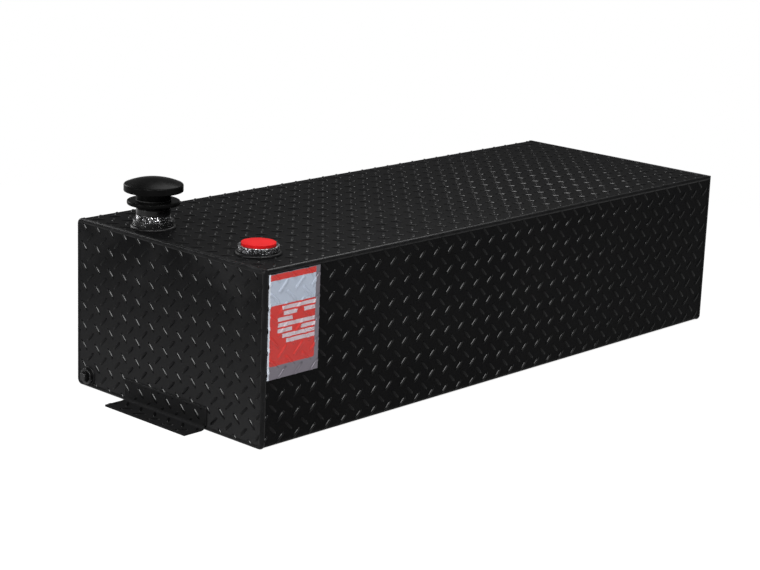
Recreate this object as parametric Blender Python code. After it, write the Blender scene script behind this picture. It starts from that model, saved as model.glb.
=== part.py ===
"""Rectangular fuel transfer tank of tread plate for a truck bed, with its welds, fittings and closures.

Metres, +Z up. The origin is under the middle of the tank, on the surface that it stands on.
X runs along the tank, with the fittings near the left end at -X, and the front wall faces -Y.
The pieces of the filler, the pump port and the drain stand on empties that lie on their own axes.
"""

import math

import bmesh
import bpy
from mathutils import Matrix

# Shell: one sheet folded into the four long walls, and a flat plate on each end
TANK_LENGTH = 1.256
TANK_WIDTH = 0.482
TANK_HEIGHT = 0.305
SHEET = 0.0032
BEND_INSIDE = 0.0064
BEND_STEPS = 5

# Clearances
SEAT_GAP = 0.0003
ROOT_GAP = 0.0006
THREAD_GAP = 0.0003

# Corner beads, which fill the notch between two sheets and lap on to both
BEAD_LAP = 0.0035
BEAD_CROWN = 0.0010
BEAD_STEPS = 6

# Baffles, folded pans that cross the tank inside
BAFFLE_COUNT = 2
BAFFLE_FLANGE = 0.025
BAFFLE_NOTCH = 0.040
BAFFLE_HOLE = 0.050

# Weld-in half couplings for the filler and the pump
BUNG_RADIUS = 0.0355
BUNG_BORE = 0.0282
BUNG_STAND = 0.015
BUNG_BELOW = 0.004
BUNG_EDGE = 0.0012
BUNG_MOUTH = 0.0020
BUNG_FILLET = 0.0042
FILLER_FROM_END = 0.0590
FILLER_FROM_BACK = 0.1360
PUMP_FROM_END = 0.0740
PUMP_FROM_FRONT = 0.0950

# Fill nipple, a short length of 2 in pipe screwed into the filler's coupling
NIPPLE_RADIUS = 0.03015
NIPPLE_BORE = 0.0262
NIPPLE_RISE = 0.0200
NIPPLE_BELOW = 0.003

# Fill neck: a sleeve in the nipple, a collar, a grip flange and the spigot that the cap screws on to
NECK_RADIUS = 0.0305
NECK_BORE = 0.0235
NECK_RISE = 0.0267
FLANGE_RADIUS = 0.0463
FLANGE_THICK = 0.0070
FLANGE_EDGE = 0.0024
SPIGOT_WALL = 0.0040
SPIGOT_RISE = 0.0120
SLEEVE_DEPTH = 0.0150

# Vented cap: seal, skirt and web, hood, and the relief valve under the hood
SEAL_THICK = 0.0020
SKIRT_WALL = 0.0027
SKIRT_GAP = 0.0006
SCREEN_THICK = 0.0007
SCREEN_ABOVE_SPIGOT = 0.0016
SCREEN_HOLE = 0.0030
SCREEN_HOLE_CIRCLE = 0.0150
SCREEN_HOLES = 8
WEB_THICK = 0.0030
WEB_DISH = 0.0029
WEB_FILLET = 0.0020
VENT_HOLE = 0.0060
HOOD_RADIUS = 0.0520
HOOD_WALL = 0.0025
HOOD_RIM = 0.0115
HOOD_RISE = 0.0120
HOOD_EDGE = 0.0012
HOOD_LIP = 0.0012
HOOD_STEP = 0.0009
HOOD_STEPS = 7
BRIM_THICK = 0.0025
BRIM_BITE = 0.0009
NOTCH_COUNT = 8
NOTCH_WIDTH = 0.0140
NOTCH_DEPTH = 0.0027
POPPET_RADIUS = 0.0090
POPPET_THICK = 0.0015
POPPET_SEAL = 0.0008
POPPET_SEAL_WIDTH = 0.0022
STEM_RADIUS = 0.0026
STEM_GAP = 0.0004
STEM_IN_GUIDE = 0.0064
GUIDE_WALL = 0.0025
GUIDE_ABOVE_POPPET = 0.0035
SPRING_WIRE = 0.0006
SPRING_ROOM = 0.0014
SPRING_TURNS = 5
SPRING_POINTS_A_TURN = 14

# Pump port plug, a hollow push-in plug
PUMP_PLUG_LIP = 0.0014
PUMP_PLUG_HEAD = 0.0050
PUMP_PLUG_EDGE = 0.0012
PUMP_PLUG_DEPTH = 0.0140
PUMP_PLUG_TAPER = 0.0008
PUMP_PLUG_WALL = 0.0020

# Drain coupling and its square-headed plug, low in the left end plate
DRAIN_BUNG_RADIUS = 0.0143
DRAIN_BORE = 0.0093
DRAIN_STAND = 0.0090
DRAIN_INSIDE = 0.0040
DRAIN_FILLET = 0.0026
DRAIN_FROM_BACK = 0.0330
DRAIN_PLUG_SHANK = 0.0120
DRAIN_PLUG_TAPER = 0.0005
DRAIN_HEAD_FLATS = 0.0143
DRAIN_HEAD_RISE = 0.0070
DRAIN_HEAD_CHAMFER = 0.0012

# Hold-down brackets, bent angles welded to the end plates
BRACKET_LENGTH = 0.208
BRACKET_OUT = 0.048
BRACKET_UP = 0.038
BRACKET_BEAD_ROOM = 0.0030

# Data label, a foil sticker near the top left corner of the front wall
LABEL_WIDTH = 0.117
LABEL_HEIGHT = 0.179
LABEL_THICK = 0.00025
LABEL_MARGIN = 0.0012

ROUND_STEPS = 32
SMALL_STEPS = 24
FILLET_STEPS = 3
CUT_PAST = 0.010
MERGE = 0.000001
SMOOTH_BELOW = math.radians(35)

# Looks: a linear RGB colour, the roughness and the metallic value
COATED_PLATE = ((0.016, 0.016, 0.017), 0.42, 0.0)
COATED_WELD = ((0.018, 0.018, 0.019), 0.36, 0.0)
COATED_FITTING = ((0.018, 0.018, 0.019), 0.36, 0.0)
BARE_METAL = ((0.55, 0.56, 0.58), 0.38, 1.0)
BLACK_PLASTIC = ((0.010, 0.010, 0.010), 0.30, 0.0)
RUBBER = ((0.020, 0.020, 0.020), 0.75, 0.0)
STAINLESS = ((0.45, 0.45, 0.46), 0.32, 1.0)
RED_PLASTIC = ((0.60, 0.015, 0.015), 0.35, 0.0)
LABEL_FOIL = ((0.50, 0.54, 0.60), 0.35, 0.2)

# Worked out from the sizes above
HALF_LENGTH = TANK_LENGTH / 2
HALF_WIDTH = TANK_WIDTH / 2
BEND_OUTSIDE = BEND_INSIDE + SHEET
BEAD_TOE = SHEET + BEAD_LAP
NIPPLE_TOP = BUNG_STAND + NIPPLE_RISE
NECK_FLANGE_LOW = BUNG_STAND + NECK_RISE
NECK_FLANGE_TOP = NECK_FLANGE_LOW + FLANGE_THICK
SPIGOT_TOP = NECK_FLANGE_TOP + SPIGOT_RISE
SPIGOT_RADIUS = NECK_BORE + SPIGOT_WALL
SKIRT_INSIDE = SPIGOT_RADIUS + SKIRT_GAP
SKIRT_OUTSIDE = SKIRT_INSIDE + SKIRT_WALL
SEAL_TOP = NECK_FLANGE_TOP + SEAT_GAP + SEAL_THICK
SKIRT_LOW = SEAL_TOP + SEAT_GAP
SCREEN_LOW = SPIGOT_TOP + SCREEN_ABOVE_SPIGOT
WEB_LOW = SCREEN_LOW + SCREEN_THICK + SEAT_GAP
WEB_TOP = WEB_LOW + WEB_THICK
BRIM_TOP = WEB_TOP + WEB_DISH
BRIM_LOW = BRIM_TOP - BRIM_THICK
HOOD_LOW = BRIM_LOW - SEAT_GAP - HOOD_LIP
HOOD_SHOULDER = HOOD_LOW + HOOD_RIM
HOOD_TOP = HOOD_SHOULDER + HOOD_RISE
HOOD_INSIDE = HOOD_RADIUS - HOOD_WALL
BRIM_RADIUS = HOOD_INSIDE - SEAT_GAP
POPPET_LOW = WEB_TOP + SEAT_GAP + POPPET_SEAL + SEAT_GAP
POPPET_TOP = POPPET_LOW + POPPET_THICK
GUIDE_LOW = POPPET_TOP + GUIDE_ABOVE_POPPET
GUIDE_BORE = STEM_RADIUS + STEM_GAP
GUIDE_RADIUS = GUIDE_BORE + GUIDE_WALL
SPRING_RADIUS = GUIDE_RADIUS + SPRING_ROOM + SPRING_WIRE
DRAIN_HEIGHT = BEAD_TOE + 2 * SEAT_GAP + DRAIN_BUNG_RADIUS
BRACKET_BEND = BEAD_TOE + BRACKET_BEAD_ROOM


def make_material(name, colour, roughness, metallic):
    mat = bpy.data.materials.new(name)
    mat.use_nodes = True
    shader = mat.node_tree.nodes["Principled BSDF"]
    shader.inputs["Base Color"].default_value = (*colour, 1.0)
    shader.inputs["Roughness"].default_value = roughness
    shader.inputs["Metallic"].default_value = metallic
    mat.diffuse_color = (*colour, 1.0)
    return mat


def add_axis(name, place, turn=(0.0, 0.0, 0.0)):
    axis = bpy.data.objects.new(name, None)
    axis.location = place
    axis.rotation_euler = turn
    bpy.context.scene.collection.objects.link(axis)
    return axis


def add_piece(name, bm, look, parent=None, smooth=True):
    """The bmesh as an object of this name, with a material of its own in one of the looks."""
    bmesh.ops.remove_doubles(bm, verts=bm.verts, dist=MERGE)
    bmesh.ops.recalc_face_normals(bm, faces=bm.faces)
    mesh = bpy.data.meshes.new(name)
    bm.to_mesh(mesh)
    bm.free()
    if smooth:
        mesh.shade_smooth()
        mesh.set_sharp_from_angle(angle=SMOOTH_BELOW)
    mesh.materials.append(make_material(name, *look))
    obj = bpy.data.objects.new(name, mesh)
    obj.parent = parent
    bpy.context.scene.collection.objects.link(obj)
    return obj


def cut_away(target, name, bm):
    """Cuts the closed shapes in bm, which are in the target's own frame, out of the target."""
    bmesh.ops.recalc_face_normals(bm, faces=bm.faces)
    mesh = bpy.data.meshes.new(name)
    bm.to_mesh(mesh)
    bm.free()
    cutter = bpy.data.objects.new(name, mesh)
    cutter.parent = target.parent
    cutter.hide_render = True
    cutter.display_type = "WIRE"
    bpy.context.scene.collection.objects.link(cutter)
    cut = target.modifiers.new(name, "BOOLEAN")
    cut.operation = "DIFFERENCE"
    cut.solver = "EXACT"
    cut.object = cutter


def skin(bm, loops, closed):
    """Faces from each loop of points to the next, and back to the first where closed, else flat ends."""
    rings = [[bm.verts.new(point) for point in loop] for loop in loops]
    count = len(rings[0])
    spans = len(rings) if closed else len(rings) - 1
    for i in range(spans):
        near = rings[i]
        far = rings[(i + 1) % len(rings)]
        for j in range(count):
            k = (j + 1) % count
            bm.faces.new((near[j], near[k], far[k], far[j]))
    if not closed:
        bm.faces.new(rings[0])
        bm.faces.new(rings[-1])


def prism(outline, start, end, bm=None):
    """The outline, as (y, z) pairs, drawn out along X from start to end."""
    bm = bm or bmesh.new()
    skin(bm, [[(x, y, z) for y, z in outline] for x in (start, end)], closed=False)
    return bm


def box(low, high, bm=None):
    outline = [(low[1], low[2]), (high[1], low[2]), (high[1], high[2]), (low[1], high[2])]
    return prism(outline, low[0], high[0], bm)


def turned(profile, steps=ROUND_STEPS, bm=None):
    """The profile, as (radius, height) pairs, spun about Z. It is a ring unless it starts on the axis."""
    bm = bm or bmesh.new()
    verts = [bm.verts.new((radius, 0.0, height)) for radius, height in profile]
    edges = [bm.edges.new(pair) for pair in zip(verts, verts[1:])]
    if profile[0][0] > MERGE:
        edges.append(bm.edges.new((verts[-1], verts[0])))
    bmesh.ops.spin(bm, geom=verts + edges, cent=(0, 0, 0), axis=(0, 0, 1), angle=2 * math.pi, steps=steps)
    bmesh.ops.remove_doubles(bm, verts=bm.verts, dist=MERGE)
    return bm


def round_bar(radius, low, high, steps=ROUND_STEPS, bm=None):
    return turned([(0.0, low), (radius, low), (radius, high), (0.0, high)], steps, bm)


def arc(centre, radius, start, end, steps):
    """Points on a circle from the angle start to the angle end, in degrees, both ends in."""
    points = []
    for i in range(steps + 1):
        angle = math.radians(start + (end - start) * i / steps)
        points.append((centre[0] + radius * math.cos(angle), centre[1] + radius * math.sin(angle)))
    return points


def fillet_section(inner, low, leg):
    """A convex fillet bead that stands on a flat at the height low, against a wall of the radius inner."""
    return [(inner, low)] + arc((inner, low), leg, 0, 90, FILLET_STEPS)


def shell_outline(inset):
    """The tank's cross-section, inset from its outer faces: three bends and a sharp front top corner."""
    far = HALF_WIDTH - inset
    low = inset
    high = TANK_HEIGHT - inset
    radius = BEND_OUTSIDE - inset
    points = [(-far, high)]
    points += arc((-far + radius, low + radius), radius, 180, 270, BEND_STEPS)
    points += arc((far - radius, low + radius), radius, 270, 360, BEND_STEPS)
    points += arc((far - radius, high - radius), radius, 0, 90, BEND_STEPS)
    return points


def corner_bead_section():
    """A bead over an outside corner, as (past this sheet's face, past the other sheet's face)."""
    reach = BEAD_TOE + BEAD_CROWN - SEAT_GAP
    back = reach - math.sqrt(reach**2 - BEAD_TOE**2 - SEAT_GAP**2 + BEAD_CROWN**2)
    radius = back + BEAD_CROWN
    lean = math.degrees(math.atan2(SEAT_GAP + back, back - BEAD_TOE))
    root = SEAT_GAP - SHEET
    crown = arc((-back, -back), radius, 90 - lean, lean, BEAD_STEPS)
    return crown + [(root, SEAT_GAP), (root, root), (SEAT_GAP, root)]


def wrap_sheet():
    """The front, bottom, back and top walls, folded from one sheet, with a hole for each coupling."""
    outer = shell_outline(0.0)[1:]
    inner = shell_outline(SHEET)[1:]
    front_end = TANK_HEIGHT - SHEET - ROOT_GAP
    top_end = -HALF_WIDTH + SHEET
    section = [(-HALF_WIDTH, front_end)] + outer + [(top_end, TANK_HEIGHT)]
    section += [(top_end, TANK_HEIGHT - SHEET)] + inner[::-1] + [(top_end, front_end)]
    end = HALF_LENGTH - SHEET - SEAT_GAP
    sheet = add_piece("wrap_sheet", prism(section, -end, end), COATED_PLATE)
    holes = bmesh.new()
    for place in (FILLER_PLACE, PUMP_PLACE):
        hole = round_bar(BUNG_RADIUS + SEAT_GAP, -SHEET - CUT_PAST, CUT_PAST)
        bmesh.ops.translate(hole, verts=hole.verts, vec=place)
        copy_into(holes, hole)
    cut_away(sheet, "bung_holes", holes)


def copy_into(target, source):
    """Adds the source's shapes to the target and frees the source."""
    mesh = bpy.data.meshes.new("copied")
    source.to_mesh(mesh)
    source.free()
    target.from_mesh(mesh)
    bpy.data.meshes.remove(mesh)


def end_plate(name, side):
    """A flat plate, set in between the walls, with its outer face flush with the tank's length."""
    outside = side * HALF_LENGTH
    inside = outside - side * SHEET
    return add_piece(name, prism(shell_outline(SHEET), inside, outside), COATED_PLATE)


def drain_hole(plate):
    hole = round_bar(DRAIN_BUNG_RADIUS + SEAT_GAP, -SHEET - CUT_PAST, CUT_PAST)
    bmesh.ops.rotate(hole, verts=hole.verts, cent=(0, 0, 0), matrix=Matrix.Rotation(-math.pi / 2, 3, "Y"))
    bmesh.ops.translate(hole, verts=hole.verts, vec=DRAIN_PLACE)
    cut_away(plate, "drain_hole", hole)


def end_weld(name, side):
    """The bead all round an end plate. It is dressed flush underneath, so that the tank stands flat."""
    bm = bmesh.new()
    loops = []
    for out, past in corner_bead_section():
        x = side * (HALF_LENGTH + out)
        loops.append([(x, y, z) for y, z in shell_outline(-past)])
    skin(bm, loops, closed=True)
    weld = add_piece(name, bm, COATED_WELD)
    far_x = HALF_LENGTH + CUT_PAST
    far_y = HALF_WIDTH + CUT_PAST
    cut_away(weld, name + "_dressing", box((-far_x, -far_y, -CUT_PAST), (far_x, far_y, 0.0)))


def seam_weld():
    """The bead along the front top edge, where the folded sheet closes, between the two end beads."""
    end = HALF_LENGTH - BEAD_TOE - SEAT_GAP
    section = [(-HALF_WIDTH - past, TANK_HEIGHT + out) for out, past in corner_bead_section()]
    add_piece("top_seam_weld", prism(section, -end, end), COATED_WELD)


def baffle(name, x):
    """A pan across the tank: clipped corners, a hole for the fuel and a flange on each straight side."""
    far = HALF_WIDTH - SHEET - SEAT_GAP
    low = SHEET + SEAT_GAP
    high = TANK_HEIGHT - SHEET - SEAT_GAP
    clip = BAFFLE_NOTCH
    outline = [(-far + clip, low), (far - clip, low), (far, low + clip), (far, high - clip)]
    outline += [(far - clip, high), (-far + clip, high), (-far, high - clip), (-far, low + clip)]
    pan = add_piece(name, prism(outline, x, x + BAFFLE_FLANGE), BARE_METAL, smooth=False)
    inside = [(-far + clip, low + SHEET), (far - clip, low + SHEET), (far - SHEET, low + clip)]
    inside += [(far - SHEET, high - clip), (far - clip, high - SHEET), (-far + clip, high - SHEET)]
    inside += [(-far + SHEET, high - clip), (-far + SHEET, low + clip)]
    hollow = prism(inside, x + SHEET, x + BAFFLE_FLANGE + CUT_PAST)
    cut_away(pan, name + "_hollow", hollow)
    corners = bmesh.new()
    past = x + BAFFLE_FLANGE + CUT_PAST
    for y in (-far, far):
        for z in (low, high):
            box((x + SHEET, y - clip, z - clip), (past, y + clip, z + clip), corners)
    cut_away(pan, name + "_corners", corners)
    hole = round_bar(BAFFLE_HOLE, -CUT_PAST, SHEET + CUT_PAST)
    bmesh.ops.rotate(hole, verts=hole.verts, cent=(0, 0, 0), matrix=Matrix.Rotation(math.pi / 2, 3, "Y"))
    bmesh.ops.translate(hole, verts=hole.verts, vec=(x, 0.0, TANK_HEIGHT / 2))
    cut_away(pan, name + "_hole", hole)


def half_coupling(name, axis, radius, bore, low, high, mouth):
    """A threaded ring welded into a hole, with its edges broken and its mouth opened out for the thread."""
    edge = BUNG_EDGE
    profile = [(bore, low), (radius - edge, low), (radius, low + edge)]
    profile += [(radius, high - edge), (radius - edge, high), (bore + mouth, high), (bore, high - mouth)]
    add_piece(name, turned(profile), COATED_FITTING, axis)


def mouth_seat(radius):
    """The cone that a screwed-in piece seats with in a coupling's mouth, out to the radius given."""
    shank = BUNG_BORE - THREAD_GAP
    rise = BUNG_STAND - BUNG_MOUTH - BUNG_BORE + math.sqrt(2) * SEAT_GAP
    return [(shank, shank + rise), (radius, radius + rise)]


def fill_nipple(axis):
    """The pipe that stands in the coupling and carries the neck."""
    profile = [(NIPPLE_BORE, -NIPPLE_BELOW), (BUNG_BORE - THREAD_GAP, -NIPPLE_BELOW)]
    profile += mouth_seat(NIPPLE_RADIUS) + [(NIPPLE_RADIUS, NIPPLE_TOP), (NIPPLE_BORE, NIPPLE_TOP)]
    add_piece("fill_nipple", turned(profile), COATED_FITTING, axis)


def fill_neck(axis):
    """One moulding: a sleeve, a collar on the nipple's end, the grip flange and the spigot for the cap."""
    grip = FLANGE_RADIUS - FLANGE_EDGE
    sleeve = NIPPLE_BORE - SEAT_GAP
    low = NIPPLE_TOP - SLEEVE_DEPTH
    collar = NIPPLE_TOP + SEAT_GAP
    profile = [(NECK_BORE, low), (sleeve, low), (sleeve, collar), (NECK_RADIUS, collar)]
    profile += [(NECK_RADIUS, NECK_FLANGE_LOW)]
    profile += arc((grip, NECK_FLANGE_LOW + FLANGE_EDGE), FLANGE_EDGE, -90, 0, FILLET_STEPS)
    profile += arc((grip, NECK_FLANGE_TOP - FLANGE_EDGE), FLANGE_EDGE, 0, 90, FILLET_STEPS)
    profile += [(SPIGOT_RADIUS, NECK_FLANGE_TOP), (SPIGOT_RADIUS, SPIGOT_TOP), (NECK_BORE, SPIGOT_TOP)]
    add_piece("fill_neck", turned(profile), BLACK_PLASTIC, axis)


def cap_seal_ring(axis):
    inner = SPIGOT_RADIUS + SEAT_GAP
    low = NECK_FLANGE_TOP + SEAT_GAP
    profile = [(inner, low), (SKIRT_OUTSIDE, low), (SKIRT_OUTSIDE, SEAL_TOP), (inner, SEAL_TOP)]
    add_piece("cap_seal_ring", turned(profile), RUBBER, axis)


def vent_screen(axis):
    """A thin pierced disc under the web, which keeps dirt out of the tank."""
    disc = round_bar(SKIRT_INSIDE - SEAT_GAP, SCREEN_LOW, SCREEN_LOW + SCREEN_THICK)
    screen = add_piece("vent_screen", disc, STAINLESS, axis)
    holes = bmesh.new()
    for i in range(SCREEN_HOLES):
        angle = 2 * math.pi * i / SCREEN_HOLES
        hole = round_bar(SCREEN_HOLE, SCREEN_LOW - CUT_PAST, SCREEN_LOW + CUT_PAST, SMALL_STEPS // 2)
        place = (SCREEN_HOLE_CIRCLE * math.cos(angle), SCREEN_HOLE_CIRCLE * math.sin(angle), 0.0)
        bmesh.ops.translate(hole, verts=hole.verts, vec=place)
        copy_into(holes, hole)
    cut_away(screen, "screen_holes", holes)


def cap_body(axis):
    """Skirt, web with the vent hole, and a notched brim that the hood snaps over."""
    profile = [(VENT_HOLE, WEB_LOW), (SKIRT_INSIDE, WEB_LOW), (SKIRT_INSIDE, SKIRT_LOW)]
    profile += [(SKIRT_OUTSIDE, SKIRT_LOW), (SKIRT_OUTSIDE, BRIM_LOW - WEB_FILLET)]
    profile += [(SKIRT_OUTSIDE + WEB_FILLET, BRIM_LOW), (BRIM_RADIUS, BRIM_LOW), (BRIM_RADIUS, BRIM_TOP)]
    profile += [(SKIRT_INSIDE, BRIM_TOP), (SKIRT_INSIDE - WEB_DISH, WEB_TOP), (VENT_HOLE, WEB_TOP)]
    body = add_piece("cap_body", turned(profile), BLACK_PLASTIC, axis)
    notches = bmesh.new()
    near = (BRIM_RADIUS - NOTCH_DEPTH, -NOTCH_WIDTH / 2, BRIM_LOW - CUT_PAST)
    far = (HOOD_RADIUS, NOTCH_WIDTH / 2, BRIM_TOP + CUT_PAST)
    for i in range(NOTCH_COUNT):
        notch = box(near, far)
        turn = Matrix.Rotation(2 * math.pi * (i + 0.5) / NOTCH_COUNT, 3, "Z")
        bmesh.ops.rotate(notch, verts=notch.verts, cent=(0, 0, 0), matrix=turn)
        copy_into(notches, notch)
    cut_away(body, "vent_notches", notches)


def dome(radius, rise, top, stop):
    """Points down a shallow dome, from its middle out to the radius stop."""
    sphere = (radius**2 + rise**2) / (2 * rise)
    points = []
    for i in range(HOOD_STEPS + 1):
        r = stop * i / HOOD_STEPS
        points.append((r, top - sphere + math.sqrt(sphere**2 - r**2)))
    return points


def cap_hood(axis):
    """The mushroom top: a shallow dome, a deep rim with a lip under the brim, and a guide for the valve."""
    edge = HOOD_EDGE
    grip = HOOD_RADIUS - edge
    roof = dome(grip, HOOD_RISE - edge, HOOD_TOP, grip)
    ceiling = dome(grip, HOOD_RISE - edge, HOOD_TOP - HOOD_WALL, HOOD_INSIDE - HOOD_STEP)
    ceiling = [(r, z) for r, z in ceiling if r > GUIDE_RADIUS + SEAT_GAP]
    guide_top = HOOD_TOP - 2 * HOOD_WALL
    inner = HOOD_INSIDE - HOOD_STEP
    profile = [(0.0, guide_top), (GUIDE_BORE, guide_top), (GUIDE_BORE, GUIDE_LOW)]
    profile += [(GUIDE_RADIUS, GUIDE_LOW), (GUIDE_RADIUS, HOOD_TOP - HOOD_WALL)] + ceiling
    profile += [(inner, BRIM_TOP + SEAT_GAP), (HOOD_INSIDE, BRIM_TOP + SEAT_GAP)]
    profile += [(HOOD_INSIDE, HOOD_LOW + HOOD_LIP), (BRIM_RADIUS - BRIM_BITE, HOOD_LOW + HOOD_LIP)]
    profile += [(BRIM_RADIUS - BRIM_BITE, HOOD_LOW)]
    profile += arc((grip, HOOD_LOW + edge), edge, -90, 0, FILLET_STEPS)
    profile += arc((grip, HOOD_SHOULDER - edge), edge, 0, 60, FILLET_STEPS)
    profile += roof[::-1]
    add_piece("cap_hood", turned(profile), BLACK_PLASTIC, axis)


def relief_valve(axis):
    """The poppet with its seal on the web, and the spring that holds it down from the hood's ceiling."""
    low = WEB_TOP + SEAT_GAP
    outer = POPPET_RADIUS
    inner = POPPET_RADIUS - POPPET_SEAL_WIDTH
    ring = [(inner, low), (outer, low), (outer, low + POPPET_SEAL), (inner, low + POPPET_SEAL)]
    add_piece("vent_seal", turned(ring, SMALL_STEPS), RUBBER, axis)
    stem_top = GUIDE_LOW + STEM_IN_GUIDE
    profile = [(0.0, POPPET_LOW), (outer, POPPET_LOW), (outer, POPPET_TOP), (STEM_RADIUS, POPPET_TOP)]
    profile += [(STEM_RADIUS, stem_top), (0.0, stem_top)]
    add_piece("vent_poppet", turned(profile, SMALL_STEPS), STAINLESS, axis)
    curve = bpy.data.curves.new("vent_spring", "CURVE")
    curve.dimensions = "3D"
    curve.bevel_depth = SPRING_WIRE
    curve.bevel_resolution = 1
    curve.use_fill_caps = True
    reach = SPRING_RADIUS + SPRING_WIRE
    ceiling = dome(HOOD_RADIUS - HOOD_EDGE, HOOD_RISE - HOOD_EDGE, HOOD_TOP - HOOD_WALL, reach)
    start = POPPET_TOP + SEAT_GAP + SPRING_WIRE
    end = ceiling[-1][1] - SEAT_GAP - SPRING_WIRE
    count = SPRING_TURNS * SPRING_POINTS_A_TURN
    spline = curve.splines.new("POLY")
    spline.points.add(count)
    for i, point in enumerate(spline.points):
        angle = 2 * math.pi * i / SPRING_POINTS_A_TURN
        rise = start + (end - start) * i / count
        point.co = (SPRING_RADIUS * math.cos(angle), SPRING_RADIUS * math.sin(angle), rise, 1.0)
    curve.materials.append(make_material("vent_spring", *STAINLESS))
    spring = bpy.data.objects.new("vent_spring", curve)
    spring.parent = axis
    bpy.context.scene.collection.objects.link(spring)


def pump_port_plug(axis):
    """A hollow plug, whose head closes the coupling's mouth and seats in it with a cone."""
    head = BUNG_BORE + PUMP_PLUG_LIP
    tip = BUNG_BORE - THREAD_GAP - PUMP_PLUG_TAPER
    low = BUNG_STAND - PUMP_PLUG_DEPTH
    top = BUNG_STAND + PUMP_PLUG_HEAD
    edge = PUMP_PLUG_EDGE
    profile = [(0.0, top - PUMP_PLUG_WALL), (tip - PUMP_PLUG_WALL, top - PUMP_PLUG_WALL)]
    profile += [(tip - PUMP_PLUG_WALL, low), (tip, low)] + mouth_seat(head)
    profile += arc((head - edge, top - edge), edge, 0, 90, FILLET_STEPS) + [(0.0, top)]
    add_piece("pump_port_plug", turned(profile), RED_PLASTIC, axis)


def drain(axis):
    """The coupling in the end plate, its bead, and the plug. The axis points out of the tank."""
    low = -SHEET - DRAIN_INSIDE
    high = DRAIN_STAND
    half_coupling("drain_bung", axis, DRAIN_BUNG_RADIUS, DRAIN_BORE, low, high, BUNG_EDGE)
    bead = turned(fillet_section(DRAIN_BUNG_RADIUS + SEAT_GAP, SEAT_GAP, DRAIN_FILLET), SMALL_STEPS)
    weld = add_piece("drain_bung_weld", bead, COATED_WELD, axis)
    reach = 2 * DRAIN_BUNG_RADIUS
    floor = DRAIN_HEIGHT - BEAD_TOE - SEAT_GAP
    cut_away(weld, "drain_bead_stop", box((-reach, -reach, -CUT_PAST), (-floor, reach, CUT_PAST)))
    shank = DRAIN_BORE - THREAD_GAP
    tip = DRAIN_STAND - DRAIN_PLUG_SHANK
    half = DRAIN_HEAD_FLATS / 2
    neck = half - DRAIN_HEAD_CHAMFER
    top = DRAIN_STAND + DRAIN_HEAD_RISE
    plug = turned([(0.0, tip), (shank - DRAIN_PLUG_TAPER, tip), (shank, DRAIN_STAND), (0.0, DRAIN_STAND)])
    body = add_piece("drain_plug", plug, COATED_FITTING, axis)
    head = bmesh.new()
    squares = ((half, DRAIN_STAND - SEAT_GAP), (half, top - DRAIN_HEAD_CHAMFER), (neck, top))
    corners = ((1, 1), (-1, 1), (-1, -1), (1, -1))
    skin(head, [[(size * a, size * b, z) for a, b in corners] for size, z in squares], closed=False)
    bmesh.ops.recalc_face_normals(head, faces=head.faces)
    add_to(body, "drain_plug_head", head)


def add_to(target, name, bm):
    """Joins the closed shape in bm, which is in the target's own frame, to the target."""
    cut_away(target, name, bm)
    target.modifiers[name].operation = "UNION"


def mount_bracket(name, side):
    """A bent angle: a foot on the ground, a bend that clears the end bead, and a leg up the end plate."""
    wall = HALF_LENGTH + SEAT_GAP
    radius = BRACKET_BEND
    centre = (wall + radius, radius)
    outer = [(wall, BRACKET_UP)] + arc(centre, radius, 180, 270, BEND_STEPS) + [(wall + BRACKET_OUT, 0.0)]
    inner = [(wall + BRACKET_OUT, SHEET)] + arc(centre, radius - SHEET, 270, 180, BEND_STEPS)
    inner += [(wall + SHEET, BRACKET_UP)]
    bm = bmesh.new()
    half = BRACKET_LENGTH / 2
    skin(bm, [[(side * x, y, z) for x, z in outer + inner] for y in (-half, half)], closed=False)
    add_piece(name, bm, COATED_PLATE)


def bracket_weld(name, side):
    """The fillet bead up one end of the bracket's leg, along its top and down the other end."""
    wall = HALF_LENGTH + SEAT_GAP
    loops = []
    for past, out in fillet_section(SEAT_GAP, 0.0, SHEET):
        far = BRACKET_LENGTH / 2 + past
        top = BRACKET_UP + past
        x = side * (wall + out)
        loops.append([(x, -far, BRACKET_BEND), (x, -far, top), (x, far, top), (x, far, BRACKET_BEND)])
    bm = bmesh.new()
    skin(bm, [list(station) for station in zip(*loops)], closed=False)
    add_piece(name, bm, COATED_WELD)


def data_label():
    left = -HALF_LENGTH + BEAD_TOE + LABEL_MARGIN
    top = TANK_HEIGHT - BEAD_TOE - LABEL_MARGIN
    near = -HALF_WIDTH - SEAT_GAP
    low = (left, near - LABEL_THICK, top - LABEL_HEIGHT)
    add_piece("data_label", box(low, (left + LABEL_WIDTH, near, top)), LABEL_FOIL, smooth=False)


for old in list(bpy.data.objects):
    bpy.data.objects.remove(old, do_unlink=True)

FILLER_PLACE = (-HALF_LENGTH + FILLER_FROM_END, HALF_WIDTH - FILLER_FROM_BACK, TANK_HEIGHT)
PUMP_PLACE = (-HALF_LENGTH + PUMP_FROM_END, -HALF_WIDTH + PUMP_FROM_FRONT, TANK_HEIGHT)
DRAIN_PLACE = (-HALF_LENGTH, HALF_WIDTH - DRAIN_FROM_BACK, DRAIN_HEIGHT)

wrap_sheet()
seam_weld()
for side_name, side_sign in (("left", -1), ("right", 1)):
    flat_end = end_plate(side_name + "_end_plate", side_sign)
    if side_sign < 0:
        drain_hole(flat_end)
    end_weld(side_name + "_end_weld", side_sign)
    mount_bracket(side_name + "_mount_bracket", side_sign)
    bracket_weld(side_name + "_bracket_weld", side_sign)
for number in range(BAFFLE_COUNT):
    share = (number + 1) / (BAFFLE_COUNT + 1)
    baffle("baffle_" + str(number + 1), -HALF_LENGTH + TANK_LENGTH * share)
data_label()

filler_axis = add_axis("filler_axis", FILLER_PLACE)
pump_axis = add_axis("pump_axis", PUMP_PLACE)
drain_axis = add_axis("drain_axis", DRAIN_PLACE, (0.0, -math.pi / 2, 0.0))

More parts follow.
